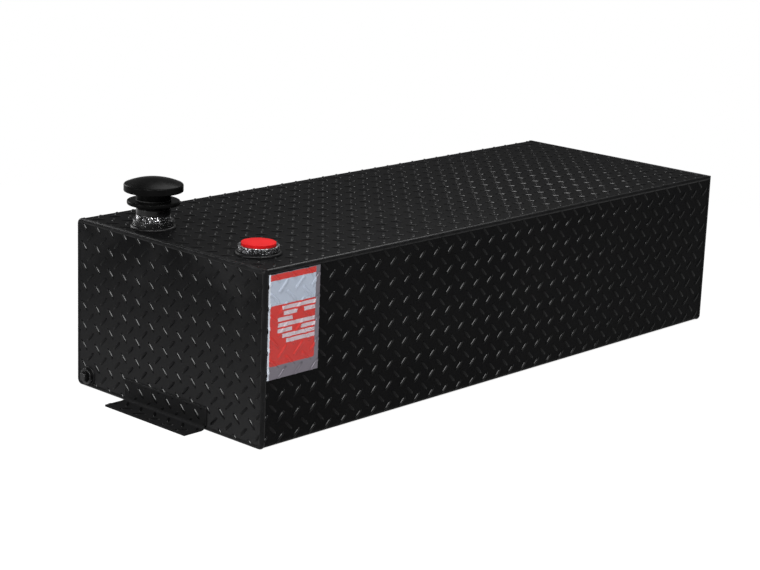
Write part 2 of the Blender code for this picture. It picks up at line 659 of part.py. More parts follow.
for bung_name, bung_axis in (("filler_bung", filler_axis), ("pump_bung", pump_axis)):
    bung_low = -SHEET - BUNG_BELOW
    half_coupling(bung_name, bung_axis, BUNG_RADIUS, BUNG_BORE, bung_low, BUNG_STAND, BUNG_MOUTH)
    bung_bead = fillet_section(BUNG_RADIUS + SEAT_GAP, SEAT_GAP, BUNG_FILLET)
    add_piece(bung_name + "_weld", turned(bung_bead), COATED_WELD, bung_axis)

fill_nipple(filler_axis)
fill_neck(filler_axis)
cap_seal_ring(filler_axis)
vent_screen(filler_axis)
cap_body(filler_axis)
cap_hood(filler_axis)
relief_valve(filler_axis)
pump_port_plug(pump_axis)
drain(drain_axis)
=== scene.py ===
"""Looks of a black tread plate transfer tank: coat, tread, weld ripples, fittings, cap, label and studio."""

import math

import bmesh
import bpy
import numpy as np
from mathutils import Matrix, Vector


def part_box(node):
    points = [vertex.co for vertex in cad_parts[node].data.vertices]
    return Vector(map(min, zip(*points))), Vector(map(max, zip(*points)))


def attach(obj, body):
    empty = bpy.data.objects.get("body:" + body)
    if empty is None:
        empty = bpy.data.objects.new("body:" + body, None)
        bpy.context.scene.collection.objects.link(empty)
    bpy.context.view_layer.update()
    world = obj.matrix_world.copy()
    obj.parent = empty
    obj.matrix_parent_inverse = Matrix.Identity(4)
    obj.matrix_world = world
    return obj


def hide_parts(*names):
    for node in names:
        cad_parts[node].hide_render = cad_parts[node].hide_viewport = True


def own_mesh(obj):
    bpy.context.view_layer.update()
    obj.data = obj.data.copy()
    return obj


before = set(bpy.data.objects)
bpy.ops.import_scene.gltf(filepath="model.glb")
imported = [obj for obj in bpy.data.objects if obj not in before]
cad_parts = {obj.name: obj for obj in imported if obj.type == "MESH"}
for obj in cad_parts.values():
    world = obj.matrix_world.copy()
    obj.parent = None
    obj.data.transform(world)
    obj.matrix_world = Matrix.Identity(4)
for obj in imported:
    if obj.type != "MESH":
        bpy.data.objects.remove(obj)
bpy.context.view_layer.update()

# Camera and studio. A long lens stands off the tank's front left corner, a little above its top, and
# leans slightly to one side. The floor and the world are plain white to the camera.
CAMERA_PLACE = Vector((-2.8041, -2.5128, 1.1145))
CAMERA_AZIMUTH = math.radians(-47.136)
CAMERA_ELEVATION = math.radians(14.718)
CAMERA_ROLL = math.radians(2.172)
CAMERA_LENS = 95.54
CAMERA_SENSOR = 36.0


def put(name, data):
    """An object of this data, in the scene."""
    made = bpy.data.objects.new(name, data)
    bpy.context.scene.collection.objects.link(made)
    return made


camera_data = bpy.data.cameras.new("camera")
camera_data.lens = CAMERA_LENS
camera_data.sensor_width = CAMERA_SENSOR
camera_data.clip_end = 100.0
camera = put("camera", camera_data)
back = Vector(
    (
        math.sin(CAMERA_AZIMUTH) * math.cos(CAMERA_ELEVATION),
        -math.cos(CAMERA_AZIMUTH) * math.cos(CAMERA_ELEVATION),
        math.sin(CAMERA_ELEVATION),
    )
)
level_right = Vector((0, 0, 1)).cross(back).normalized()
level_up = back.cross(level_right)
right = math.cos(CAMERA_ROLL) * level_right + math.sin(CAMERA_ROLL) * level_up
up = math.cos(CAMERA_ROLL) * level_up - math.sin(CAMERA_ROLL) * level_right
camera.matrix_world = Matrix.Translation(CAMERA_PLACE) @ Matrix((right, up, back)).transposed().to_4x4()
bpy.context.scene.camera = camera
bpy.context.scene.view_settings.view_transform = "Standard"


def add_node(tree, kind, inputs=None, **settings):
    """A node with its settings, and its inputs set to values or linked to sockets."""
    made = tree.nodes.new(kind)
    for name, value in settings.items():
        setattr(made, name, value)
    for name, value in (inputs or {}).items():
        if isinstance(value, bpy.types.NodeSocket):
            tree.links.new(value, made.inputs[name])
        else:
            made.inputs[name].default_value = value
    return made


def step(kind, inputs, output=0, **settings):
    """A node in the same tree as the sockets that feed it, and the socket it gives."""
    tree = next(value.id_data for value in inputs.values() if isinstance(value, bpy.types.NodeSocket))
    return add_node(tree, kind, inputs, **settings).outputs[output]


def calc(operation, first, second=0.0, clamp=False):
    """One step of arithmetic on sockets or numbers, in a shader or a geometry tree."""
    return step("ShaderNodeMath", {0: first, 1: second}, operation=operation, use_clamp=clamp)


def times(first, second, clamp=False):
    return calc("MULTIPLY", first, second, clamp)


def minus(first, second, clamp=False):
    return calc("SUBTRACT", first, second, clamp)


def vector_step(operation, first, second=(0.0, 0.0, 0.0), output=0):
    return step("ShaderNodeVectorMath", {0: first, 1: second}, output, operation=operation)


def scaled(value, low, high, to_low=0.0, to_high=1.0):
    """The value moved from one range to another and held inside it."""
    ranges = {"From Min": low, "From Max": high, "To Min": to_low, "To Max": to_high}
    return step("ShaderNodeMapRange", {"Value": value} | ranges)


FLOOR_HALF = 15.0
FLOOR_WHITE = (0.80, 0.80, 0.80, 1.0)
FLOOR_SHADOW = 0.10
SHADOW_FULL = 0.9
SHADOW_GONE = 1.7

floor_mesh = bpy.data.meshes.new("floor")
floor_corners = [(x * FLOOR_HALF, y * FLOOR_HALF, 0) for x, y in ((-1, -1), (1, -1), (1, 1), (-1, 1))]
floor_mesh.from_pydata(floor_corners, [], [(0, 1, 2, 3)])
floor = put("floor", floor_mesh)
floor_look = bpy.data.materials.new("white_floor")
floor_look.use_nodes = True
floor_tree = floor_look.node_tree
floor_tree.nodes.clear()
floor_light = add_node(floor_tree, "ShaderNodeLightPath")
seen = calc("MAXIMUM", floor_light.outputs["Is Camera Ray"], floor_light.outputs["Is Glossy Ray"])
seen = calc("MAXIMUM", seen, floor_light.outputs["Is Transmission Ray"])
floor_spot = add_node(floor_tree, "ShaderNodeTexCoord").outputs["Object"]
floor_reach = vector_step("LENGTH", floor_spot, output="Value")
share = times(seen, scaled(floor_reach, SHADOW_FULL, SHADOW_GONE, 1.0 - FLOOR_SHADOW, 1.0))
plain = add_node(floor_tree, "ShaderNodeBsdfDiffuse", {"Color": FLOOR_WHITE}).outputs[0]
white = add_node(floor_tree, "ShaderNodeEmission", {"Color": (1, 1, 1, 1), "Strength": 1.0}).outputs[0]
floor_mix = step("ShaderNodeMixShader", {0: share, 1: plain, 2: white})
add_node(floor_tree, "ShaderNodeOutputMaterial", {"Surface": floor_mix})
floor_mesh.materials.append(floor_look)

WORLD_LEVEL = 0.07
WORLD_REFLECTED = 0.21

world = bpy.data.worlds.new("studio")
bpy.context.scene.world = world
world.use_nodes = True
sky = world.node_tree
sky.nodes.clear()
sky_light = add_node(sky, "ShaderNodeLightPath")
sky_seen = calc("MAXIMUM", sky_light.outputs["Is Camera Ray"], sky_light.outputs["Is Transmission Ray"])
sky_level = times(sky_light.outputs["Is Glossy Ray"], WORLD_REFLECTED)
sky_level = calc("MAXIMUM", sky_seen, calc("MAXIMUM", sky_level, WORLD_LEVEL))
sky_white = step("ShaderNodeBackground", {"Color": (1, 1, 1, 1), "Strength": sky_level})
add_node(sky, "ShaderNodeOutputWorld", {"Surface": sky_white})

# Soft boxes: name, place, aim, watts, length, width, and about which way the length lies.
LENGTHWAYS = (1.0, 0.0, 0.0)
for name, place, aim, watts, long, wide, lie in (
    ("end_key", (-2.22, -0.74, 2.06), (-0.63, 0.0, 0.15), 92, 0.85, 0.46, (-0.05, 0.98, 0.17)),
    ("front_key", (-0.97, -1.80, 2.08), (-0.2, -0.24, 0.15), 88, 1.10, 0.46, (1.0, -0.09, 0.03)),
    ("end_fill", (-3.0, 0.6, 0.8), (-0.6, 0.0, 0.2), 48, 1.2, 1.2, LENGTHWAYS),
    ("top_fill", (0.95, 0.5, 2.4), (0.1, 0.0, 0.3), 74, 1.6, 1.6, LENGTHWAYS),
    ("back_fill", (-0.5, 2.5, 1.2), (0.0, 0.24, 0.15), 45, 1.2, 1.2, LENGTHWAYS),
    ("top_spark", (-0.1, -0.85, 2.3), (0.45, -0.15, 0.3), 30, 0.35, 0.35, LENGTHWAYS),
):
    data = bpy.data.lights.new(name, "AREA")
    data.shape = "RECTANGLE"
    data.size = long
    data.size_y = wide
    data.energy = watts
    away = (Vector(place) - Vector(aim)).normalized()
    along = (Vector(lie) - Vector(lie).dot(away) * away).normalized()
    facing = Matrix((along, away.cross(along), away)).transposed().to_4x4()
    put(name, data).matrix_world = Matrix.Translation(place) @ facing

# Coated plate. The folded walls and the flat ends are 3.2 mm aluminium tread plate under a black powder
# coat, which is slightly glossy, has a fine orange peel, and is a little dustier in slow patches.
COAT_BLACK = (0.0016, 0.0016, 0.0017, 1.0)
COAT_DUSTY = (0.0026, 0.0026, 0.0027, 1.0)
# The ends' patch colour is paler than the walls'. It is laid on more thickly towards the bottom of the ends
# and the brackets, as painted light that stands in for light thrown up from the floor, on top of the real
# dusty patches.
END_DUST_AND_LIGHT = (0.0088, 0.0088, 0.0090, 1.0)
END_PAINTED_LIGHT = 1.0
PAINTED_LIGHT_TOP = 0.30
COAT_FINISH = (0.42, 0.12, 5.0, 520.0, 0.00006)
COAT_SHINE = 0.015
PATCH_BEGINS = 0.42
PATCH_FULL = 0.72
ROUND_BELOW = 25
JOIN_WITHIN = 0.000002


def shader_group(name, inputs, outputs):
    """An empty shader group with these sockets, and the sockets of its two end nodes."""
    kinds = {"Colour": "NodeSocketColor", "Normal": "NodeSocketVector"}
    group = bpy.data.node_groups.new(name, "ShaderNodeTree")
    for way, sockets in (("INPUT", inputs), ("OUTPUT", outputs)):
        for socket in sockets:
            kind = kinds.get(socket.split()[-1], "NodeSocketFloat")
            group.interface.new_socket(socket, in_out=way, socket_type=kind)
    return group, group.nodes.new("NodeGroupInput").outputs, group.nodes.new("NodeGroupOutput").inputs


def noise(place, scale, detail):
    return step("ShaderNodeTexNoise", {"Vector": place, "Scale": scale, "Detail": detail})


def bump(height, distance):
    return step("ShaderNodeBump", {"Height": height, "Distance": distance})


def mix_colour(factor, first, second):
    return step("ShaderNodeMix", {0: factor, 6: first, 7: second}, 2, data_type="RGBA")


finish_group, given, result = shader_group(
    "surface_finish",
    ("Colour", "Patch Colour", "Roughness", "Roughness Spread")
    + ("Patch Scale", "Grain Scale", "Grain Height", "Low Dust"),
    ("Colour", "Roughness", "Normal"),
)
spot = add_node(finish_group, "ShaderNodeTexCoord").outputs["Object"]
level = step("ShaderNodeSeparateXYZ", {0: spot}, 2)
# Painted light: the patch colour is mixed in more strongly towards the bottom, standing in for light thrown
# up from the floor. The noise patches below are real dusty patches.
low_dust = times(scaled(level, 0.0, PAINTED_LIGHT_TOP, 1.0, 0.0), given["Low Dust"])
patches = noise(spot, given["Patch Scale"], 4.0)
patch_and_light_mask = calc("MAXIMUM", scaled(patches, PATCH_BEGINS, PATCH_FULL), low_dust)
grain = noise(spot, given["Grain Scale"], 2.0)
patched = mix_colour(patch_and_light_mask, given["Colour"], given["Patch Colour"])
rougher = times(patch_and_light_mask, given["Roughness Spread"])
finish_group.links.new(patched, result["Colour"])
finish_group.links.new(calc("ADD", given["Roughness"], rougher), result["Roughness"])
finish_group.links.new(bump(grain, given["Grain Height"]), result["Normal"])


def look_from(name, group, values, specular=0.5, metallic=0.0):
    """A Principled material fed by a shader group, whose inputs take the values in their order."""
    look = bpy.data.materials.new(name)
    look.use_nodes = True
    tree = look.node_tree
    shader = tree.nodes["Principled BSDF"]
    shader.inputs["Metallic"].default_value = metallic
    shader.inputs["Specular IOR Level"].default_value = specular
    made = add_node(tree, "ShaderNodeGroup", node_tree=group)
    for socket, value in zip(made.inputs, values):
        socket.default_value = value
    for output in made.outputs:
        target = "Base Color" if output.name == "Colour" else output.name
        tree.links.new(output, shader.inputs[target])
    return look


def finish(name, colour, patch, surface, low_dust=0.0, **more):
    """A finish with duller patches, a fine grain and, if asked, painted light low on the tank: the patch
    colour grows towards the bottom, standing in for light thrown up from the floor. Its surface is the
    roughness, what patches add to it, the scale of patches, the scale of the grain and its height."""
    return look_from(name, finish_group, (colour, patch, *surface, low_dust), **more)


def mended(mesh, join=False, face_out=True):
    """Joins a mesh's doubled corners and turns its faces outwards, as asked."""
    bm = bmesh.new()
    bm.from_mesh(mesh)
    if join:
        bmesh.ops.remove_doubles(bm, verts=bm.verts, dist=JOIN_WITHIN)
    if face_out:
        bmesh.ops.recalc_face_normals(bm, faces=bm.faces)
    bm.to_mesh(mesh)
    bm.free()


def settled(holder):
    """A plain mesh of what an object's modifiers make of it. The object itself goes."""
    mesh = bpy.data.meshes.new_from_object(holder.evaluated_get(bpy.context.evaluated_depsgraph_get()))
    holder.modifiers.clear()
    bpy.data.objects.remove(holder)
    return mesh


def smoothed(mesh, angle, look):
    """The mesh with its rounds shaded smooth below the angle, in degrees, and its flats shaded flat."""
    mesh.shade_smooth()
    mesh.set_sharp_from_angle(angle=math.radians(angle))
    holder = put("holder", mesh)
    holder.modifiers.new("even", "WEIGHTED_NORMAL").keep_sharp = True
    done = settled(holder)
    done.materials.clear()
    done.materials.append(look)
    return done


def cad_copy(node, angle, look):
    """A CAD node's shape, with its loose triangles joined and its rounds smooth."""
    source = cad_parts[node].data
    mesh = bpy.data.meshes.new(node)
    mesh.from_pydata([v.co[:] for v in source.vertices], [], [p.vertices[:] for p in source.polygons])
    mended(mesh, join=True, face_out=False)
    return smoothed(mesh, angle, look)


def show(name, mesh, body, slot, *nodes):
    """The finished mesh as a piece that rides on a body, in place of the CAD nodes named, if any."""
    piece = put(name, mesh)
    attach(piece, body)
    if nodes:
        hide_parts(*nodes)
    return piece


coat = finish("black_coat", COAT_BLACK, COAT_DUSTY, COAT_FINISH, specular=COAT_SHINE)
end_coat = finish("black_coat_on_ends", COAT_BLACK, END_DUST_AND_LIGHT, COAT_FINISH, END_PAINTED_LIGHT, specular=COAT_SHINE)
for node, look in (("wrap_sheet", coat), ("left_end_plate", end_coat), ("right_end_plate", end_coat)):
    show(node + "_coated", cad_copy(node, ROUND_BELOW, look), "tank", "coated_plate", node)

# Tread. The mill rolls raised lugs into the plate, in two square lattices that lie between each other,
# with the lugs of one at right angles to those of the other. They run under the beads at the edges.
END_PITCH = 0.0365
SHEET_PITCH = 0.0373
LUG_LENGTH = 0.0255
LUG_WIDTH = 0.0056
LUG_HEIGHT = 0.00135
LUG_SUNK = 0.0001
LUG_STATIONS = 9
LUG_ACROSS = 7
LUG_SIDE_POWER = 4.2
LUG_WIDTH_POWER = 0.30
LUG_HEIGHT_POWER = 0.30
LUG_CREASE = 28
LUG_JOIN = 0.00001
CUT_WITHIN = 1e-7
BEND_RADIUS = 0.0096
LUG_BLACK = (0.0013, 0.0013, 0.0014, 1.0)
LUG_DUSTY = (0.0021, 0.0021, 0.0022, 1.0)

wall_high = Vector(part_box("wrap_sheet")[1])
left_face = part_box("left_end_plate")[0][0]
right_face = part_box("right_end_plate")[1][0]
TANK_HIGH = wall_high.z
HALF_WIDE = wall_high.y
BEAD_EDGE = 0.0055
LUG_FINISH = (0.16, 0.05, 40.0, 520.0, 0.00003)
lug_coat = finish("black_coat_on_lugs", LUG_BLACK, LUG_DUSTY, LUG_FINISH, specular=0.05)


def geometry_tree(name, sockets):
    """An empty geometry tree with these inputs, and its input node's sockets."""
    tree = bpy.data.node_groups.new(name, "GeometryNodeTree")
    for socket, kind in sockets.items():
        tree.interface.new_socket(socket, in_out="INPUT", socket_type="NodeSocket" + kind)
    tree.interface.new_socket("Geometry", in_out="OUTPUT", socket_type="NodeSocketGeometry")
    return tree, tree.nodes.new("NodeGroupInput").outputs


def end_tree(tree, geometry, look):
    """Ends a geometry tree in plain, coated geometry."""
    real = step("GeometryNodeRealizeInstances", {"Geometry": geometry})
    coated = step("GeometryNodeSetMaterial", {"Geometry": real, "Material": look})
    tree.links.new(coated, tree.nodes.new("NodeGroupOutput").inputs[0])


tread_tree, sizes = geometry_tree(
    "tread_pattern",
    {"Columns": "Int", "Rows": "Int", "Pitch": "Float", "Start": "Vector", "Lug Length": "Float"}
    | {"Lug Width": "Float", "Lug Height": "Float", "Sunk": "Float", "Coat": "Material"},
)


def lug_skin(rows, height_share):
    """A grid from -1 to 1 drawn into the lug's almond outline, and raised by a share of the lug's height."""
    size = {"Size X": 2.0, "Size Y": 2.0, "Vertices X": LUG_STATIONS, "Vertices Y": rows}
    grid = add_node(tread_tree, "GeometryNodeMeshGrid", size)
    here = tread_tree.nodes.new("GeometryNodeInputPosition").outputs[0]
    along, across = add_node(tread_tree, "ShaderNodeSeparateXYZ", {0: here}).outputs[:2]
    ends_off = minus(1.0, times(along, along), clamp=True)
    side = calc("POWER", calc("ABSOLUTE", across), LUG_SIDE_POWER)
    sides_off = minus(1.0, side, clamp=True)
    wide = times(calc("POWER", ends_off, LUG_WIDTH_POWER), sizes["Lug Width"])
    high = times(calc("POWER", ends_off, LUG_HEIGHT_POWER), sizes["Lug Height"])
    x = times(along, times(sizes["Lug Length"], 0.5))
    y = times(across, times(wide, 0.5))
    z = times(times(high, sides_off), height_share)
    z = minus(z, sizes["Sunk"])
    drawn = step("ShaderNodeCombineXYZ", {0: x, 1: y, 2: z})
    return step("GeometryNodeSetPosition", {"Geometry": grid.outputs[0], "Position": drawn})


crown = lug_skin(LUG_ACROSS, 1.0)
sole = step("GeometryNodeFlipFaces", {"Mesh": lug_skin(2, 0.0)})
lug_join = tread_tree.nodes.new("GeometryNodeJoinGeometry")
tread_tree.links.new(crown, lug_join.inputs[0])
tread_tree.links.new(sole, lug_join.inputs[0])
lug = step("GeometryNodeMergeByDistance", {"Geometry": lug_join.outputs[0], "Distance": LUG_JOIN})
tread_join = tread_tree.nodes.new("GeometryNodeJoinGeometry")
for turn, offset in ((math.pi / 4, 0.0), (-math.pi / 4, 0.5)):
    counts = {"Vertices X": sizes["Columns"], "Vertices Y": sizes["Rows"]}
    spans = {
        "Size X": times(minus(sizes["Columns"], 1.0), sizes["Pitch"]),
        "Size Y": times(minus(sizes["Rows"], 1.0), sizes["Pitch"]),
    }
    lattice = step("GeometryNodeMeshGrid", counts | spans)
    shift = times(sizes["Pitch"], offset)
    shift = vector_step("ADD", sizes["Start"], step("ShaderNodeCombineXYZ", {0: shift, 1: shift, 2: 0.0}))
    moved = step("GeometryNodeSetPosition", {"Geometry": lattice, "Offset": shift})
    lugs_on = {"Points": moved, "Instance": lug, "Rotation": (0.0, 0.0, turn)}
    tread_tree.links.new(step("GeometryNodeInstanceOnPoints", lugs_on), tread_join.inputs[0])
end_tree(tread_tree, tread_join.outputs[0], sizes["Coat"])


def grown(name, tree, values, base=None):
    """A plain mesh grown by a geometry tree with these named inputs, on an empty mesh or a base."""
    seed = put(name + "_seed", base or bpy.data.meshes.new(name + "_seed"))
    tool = seed.modifiers.new("grow", "NODES")
    tool.node_group = tree
    for item in tree.interface.items_tree:
        if item.in_out == "INPUT" and item.name in values:
            tool[item.identifier] = values[item.name]
    mesh = settled(seed)
    mesh.name = name
    return mesh


def flat_tread(name, columns, rows, centre, pitch=END_PITCH):
    values = {"Columns": columns, "Rows": rows, "Pitch": pitch, "Start": (centre[0], centre[1], 0.0)}
    values |= {"Lug Length": LUG_LENGTH, "Lug Width": LUG_WIDTH, "Lug Height": LUG_HEIGHT}
    values |= {"Sunk": LUG_SUNK, "Coat": lug_coat}
    return grown(name, tread_tree, values)


def trim(bm, parts, point, normal):
    """Cuts these parts by a plane, drops what lies past it, and closes the cut."""
    plane = {"plane_co": point, "plane_no": normal}
    done = bmesh.ops.bisect_plane(bm, geom=parts, dist=CUT_WITHIN, clear_outer=True, **plane)
    edges = [part for part in done["geom_cut"] if isinstance(part, bmesh.types.BMEdge)]
    bmesh.ops.holes_fill(bm, edges=edges, sides=0)


def trimmed_tread(mesh, window, rounds=(), blocks=()):
    """Trims a flat tread to its plate's window, and away from round fittings and rectangular feet. The lugs
    follow one another in the mesh, each with as many corners."""
    bm = bmesh.new()
    bm.from_mesh(mesh)
    corners = list(bm.verts)
    count = 2 * LUG_STATIONS - 2 + (LUG_ACROSS - 2) * (LUG_STATIONS - 2)
    for first in range(0, len(corners), count):
        island = corners[first : first + count]
        middle = sum((v.co for v in island), Vector()) / count
        cuts = []
        for x, y, radius in rounds:
            away = Vector((middle.x - x, middle.y - y, 0.0))
            if away.length < radius + LUG_LENGTH / 2:
                away.normalize()
                cuts.append((Vector((x, y, 0.0)) + away * radius, -away))
        for low_x, low_y, high_x, high_y in blocks:
            sides = (
                (low_x - middle.x, (low_x, low_y, 0), (1, 0, 0)),
                (middle.x - high_x, (high_x, high_y, 0), (-1, 0, 0)),
                (low_y - middle.y, (low_x, low_y, 0), (0, 1, 0)),
                (middle.y - high_y, (high_x, high_y, 0), (0, -1, 0)),
            )
            gap, point, normal = max(sides, key=lambda side: side[0])
            if gap < LUG_LENGTH / 2:
                cuts.append((point, normal))
        for point, normal in cuts:
            alive = [v for v in island if v.is_valid]
            faces = {face for v in alive for face in v.link_faces}
            edges = {edge for face in faces for edge in face.edges}
            verts = {v for face in faces for v in face.verts}
            if faces:
                trim(bm, list(verts) + list(edges) + list(faces), point, normal)
    low_x, low_y, high_x, high_y = window
    for point, normal in (
        ((low_x, 0, 0), (-1, 0, 0)),
        ((high_x, 0, 0), (1, 0, 0)),
        ((0, low_y, 0), (0, -1, 0)),
        ((0, high_y, 0), (0, 1, 0)),
    ):
        trim(bm, bm.verts[:] + bm.edges[:] + bm.faces[:], point, normal)
    bm.to_mesh(mesh)
    bm.free()
    return mesh


def laid(mesh, place):
    """Moves each corner of a flat mesh from (along, up, out) to where place puts it."""
    corners = np.empty(len(mesh.vertices) * 3)
    mesh.vertices.foreach_get("co", corners)
    mesh.vertices.foreach_set("co", place(corners.reshape(-1, 3)).ravel())
    mended(mesh)
    mesh.shade_smooth()
    mesh.set_sharp_from_angle(angle=math.radians(LUG_CREASE))


END_LUG_Y = 0.0035
END_LUG_Z = 0.0029
END_COLUMNS = 15
END_ROWS = 11
END_MIDDLE_ROW = 4
UNDER_BEAD = 0.0006
UNDER_BUNG_BEAD = 0.0010
filler_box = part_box("filler_bung")
pump_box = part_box("pump_bung")
drain_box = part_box("drain_bung_weld")
FILLER = Vector(((filler_box[0][0] + filler_box[1][0]) / 2, (filler_box[0][1] + filler_box[1][1]) / 2))
PUMP = Vector(((pump_box[0][0] + pump_box[1][0]) / 2, (pump_box[0][1] + pump_box[1][1]) / 2))
BUNG_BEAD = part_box("filler_bung_weld")[1][0] - FILLER.x - UNDER_BUNG_BEAD
drain_reach = (drain_box[1][1] - drain_box[0][1]) / 2
DRAIN = Vector(((drain_box[0][1] + drain_box[1][1]) / 2, drain_box[1][2] - drain_reach))
DRAIN_BEAD = drain_reach - UNDER_BEAD

for side, sign, face in (("left", -1, left_face), ("right", 1, right_face)):
    centre = (END_LUG_Y, END_LUG_Z + END_MIDDLE_ROW * END_PITCH)
    flat = flat_tread(side + "_end_tread", END_COLUMNS, END_ROWS, centre)
    edge = HALF_WIDE - BEAD_EDGE
    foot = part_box(side + "_bracket_weld")
    foot_block = (foot[0][1] + UNDER_BEAD, -1.0, foot[1][1] - UNDER_BEAD, foot[1][2] - UNDER_BEAD)
    round_block = [(DRAIN.x, DRAIN.y, DRAIN_BEAD)] if side == "left" else []
    trimmed_tread(flat, (-edge, BEAD_EDGE, edge, TANK_HIGH - BEAD_EDGE), round_block, [foot_block])
    laid(flat, lambda p: np.column_stack((face + sign * p[:, 2], p[:, 0], p[:, 1])))
    show(side + "_end_tread", flat, "tank", "coated_plate")


def folded(p):
    """From the flat sheet to the folded one: down the front, under, up the back and over the top."""
    x, s, out = p[:, 0], p[:, 1], p[:, 2]
    radius = BEND_RADIUS
    quarter = math.pi / 2 * radius
    runs = [TANK_HIGH - radius, 2 * (HALF_WIDE - radius), TANK_HIGH - 2 * radius, 2 * HALF_WIDE - radius]
    start = np.array([-HALF_WIDE, TANK_HIGH])
    heading = math.radians(-90)
    y = np.zeros_like(x)
    z = np.zeros_like(x)
    begun = 0.0
    for i, run in enumerate(runs):
        ahead = np.array([math.cos(heading), math.sin(heading)])
        outward = np.array([ahead[1], -ahead[0]])
        here = (s >= begun) | (i == 0)
        y = np.where(here, start[0] + ahead[0] * (s - begun) + outward[0] * out, y)
        z = np.where(here, start[1] + ahead[1] * (s - begun) + outward[1] * out, z)
        start = start + ahead * run
        begun += run
        if i == len(runs) - 1:
            break
        centre = start - outward * radius
        here = s >= begun
        angle = np.arctan2(outward[1], outward[0]) + (s - begun) / radius
        y = np.where(here, centre[0] + np.cos(angle) * (radius + out), y)
        z = np.where(here, centre[1] + np.sin(angle) * (radius + out), z)
        heading += math.pi / 2
        turned_out = np.array([math.sin(heading), -math.cos(heading)])
        start = centre + turned_out * radius
        begun += quarter
    return np.column_stack((x, y, z))


QUARTER = math.pi / 2 * BEND_RADIUS
FRONT_RUN = TANK_HIGH - BEND_RADIUS
BEND_COVERED = 0.45
FRONT_ENDS = FRONT_RUN + BEND_COVERED * QUARTER
BACK_BEGINS = FRONT_RUN + QUARTER + 2 * (HALF_WIDE - BEND_RADIUS) + (1.0 - BEND_COVERED) * QUARTER
TOP_BEGINS = FRONT_RUN + 3 * QUARTER + 2 * (HALF_WIDE - BEND_RADIUS) + TANK_HIGH - 2 * BEND_RADIUS
SHEET_RUN = TOP_BEGINS + 2 * HALF_WIDE - BEND_RADIUS
FRONT_LUG_X = -0.6051
FRONT_LUG_Z = 0.0315
TOP_LUG_Y = 0.1357
WALL_COLUMNS = 37
MIDDLE_COLUMN = 17
FRONT_ROWS = 11
FRONT_MIDDLE_ROW = 4
TOP_ROWS = 25
along_middle = FRONT_LUG_X + MIDDLE_COLUMN * SHEET_PITCH
front_middle = TANK_HIGH - FRONT_LUG_Z - FRONT_MIDDLE_ROW * SHEET_PITCH
edge_x = -left_face - BEAD_EDGE


def top_spot(place):
    """A point of the top wall, as along the sheet and along its fold."""
    return place.x, TOP_BEGINS + HALF_WIDE - BEND_RADIUS - place.y


top_middle = top_spot(Vector((0.0, TOP_LUG_Y)))[1]
for name, rows, middle_row, low, high, rounds in (
    ("front_tread", FRONT_ROWS, front_middle, BEAD_EDGE, FRONT_ENDS, ()),
    ("top_tread", TOP_ROWS, top_middle, BACK_BEGINS, SHEET_RUN - BEAD_EDGE, (FILLER, PUMP)),
):
    flat = flat_tread(name, WALL_COLUMNS, rows, (along_middle, middle_row), SHEET_PITCH)
    circles = [(*top_spot(place), BUNG_BEAD) for place in rounds]
    trimmed_tread(flat, (-edge_x, low, edge_x, high), circles)
    laid(flat, folded)
    show(name, flat, "tank", "coated_plate")

# Hold-down brackets. Each is a short angle bent from the same plate, lugs and all, which is welded low
# on an end plate and gives the clamp a foot to press on.
FOOT_LUG_Y = -0.0103
FOOT_LUG_OUT = 0.0355
LEG_LUG_UP = 0.0255
BRACKET_COLUMNS = 7
BRACKET_ROWS = 3
BRACKET_EASE = 0.0010
SHEET = 0.0032
# The brackets take the ends' paler colour low down, as painted light that stands in for light thrown up from
# the floor.
BRACKET_PAINTED_LIGHT = 0.42
bracket_coat = finish(
    "black_coat_on_brackets", COAT_BLACK, END_DUST_AND_LIGHT, COAT_FINISH, BRACKET_PAINTED_LIGHT, specular=COAT_SHINE
)

for side, sign in (("left", -1), ("right", 1)):
    node = side + "_mount_bracket"
    low_corner, high_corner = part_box(node)
    wall = high_corner[0] if sign < 0 else low_corner[0]
    out = high_corner[0] - low_corner[0]
    end = high_corner[1] - BRACKET_EASE
    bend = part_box(side + "_bracket_weld")[0][2] + BRACKET_EASE / 2
    show(node + "_coated", cad_copy(node, ROUND_BELOW, bracket_coat), "tank", "coated_plate", node)
    for part, lug_up, far in (("foot", FOOT_LUG_OUT, out), ("leg", LEG_LUG_UP, high_corner[2])):
        flat = flat_tread(side + "_" + part + "_tread", BRACKET_COLUMNS, BRACKET_ROWS, (FOOT_LUG_Y, lug_up))
        trimmed_tread(flat, (-end, bend, end, far - BRACKET_EASE))
        if part == "foot":
            laid(flat, lambda p: np.column_stack((wall + sign * p[:, 1], p[:, 0], SHEET + p[:, 2])))
        else:
            laid(flat, lambda p: np.column_stack((wall + sign * (SHEET + p[:, 2]), p[:, 0], p[:, 1])))
        show(side + "_" + part + "_tread", flat, "tank", "coated_plate")

# Welds. Each joint carries one run of bead, laid by hand in small steps, so that its crown shows a row of
# bow-shaped ripples under the coat. The beads under the tank are dressed flush.
RIPPLE_PITCH = 0.0031
RIPPLE_HEIGHT = 0.00032
RIPPLE_BOW = 0.0022
RIPPLE_WANDER = 0.0011
RIPPLE_SHARPNESS = 0.7
WANDER_SCALE = 90.0
BEAD_CREASE = 60
BEAD_STEP = 0.0008
WELD_BLACK = (0.0022, 0.0022, 0.0023, 1.0)
WELD_DUSTY = (0.0038, 0.0038, 0.0040, 1.0)
WELD_FINISH = (0.28, 0.1, 60.0, 800.0, 0.00010)
weld_coat = finish("black_coat_on_welds", WELD_BLACK, WELD_DUSTY, WELD_FINISH, specular=0.06)

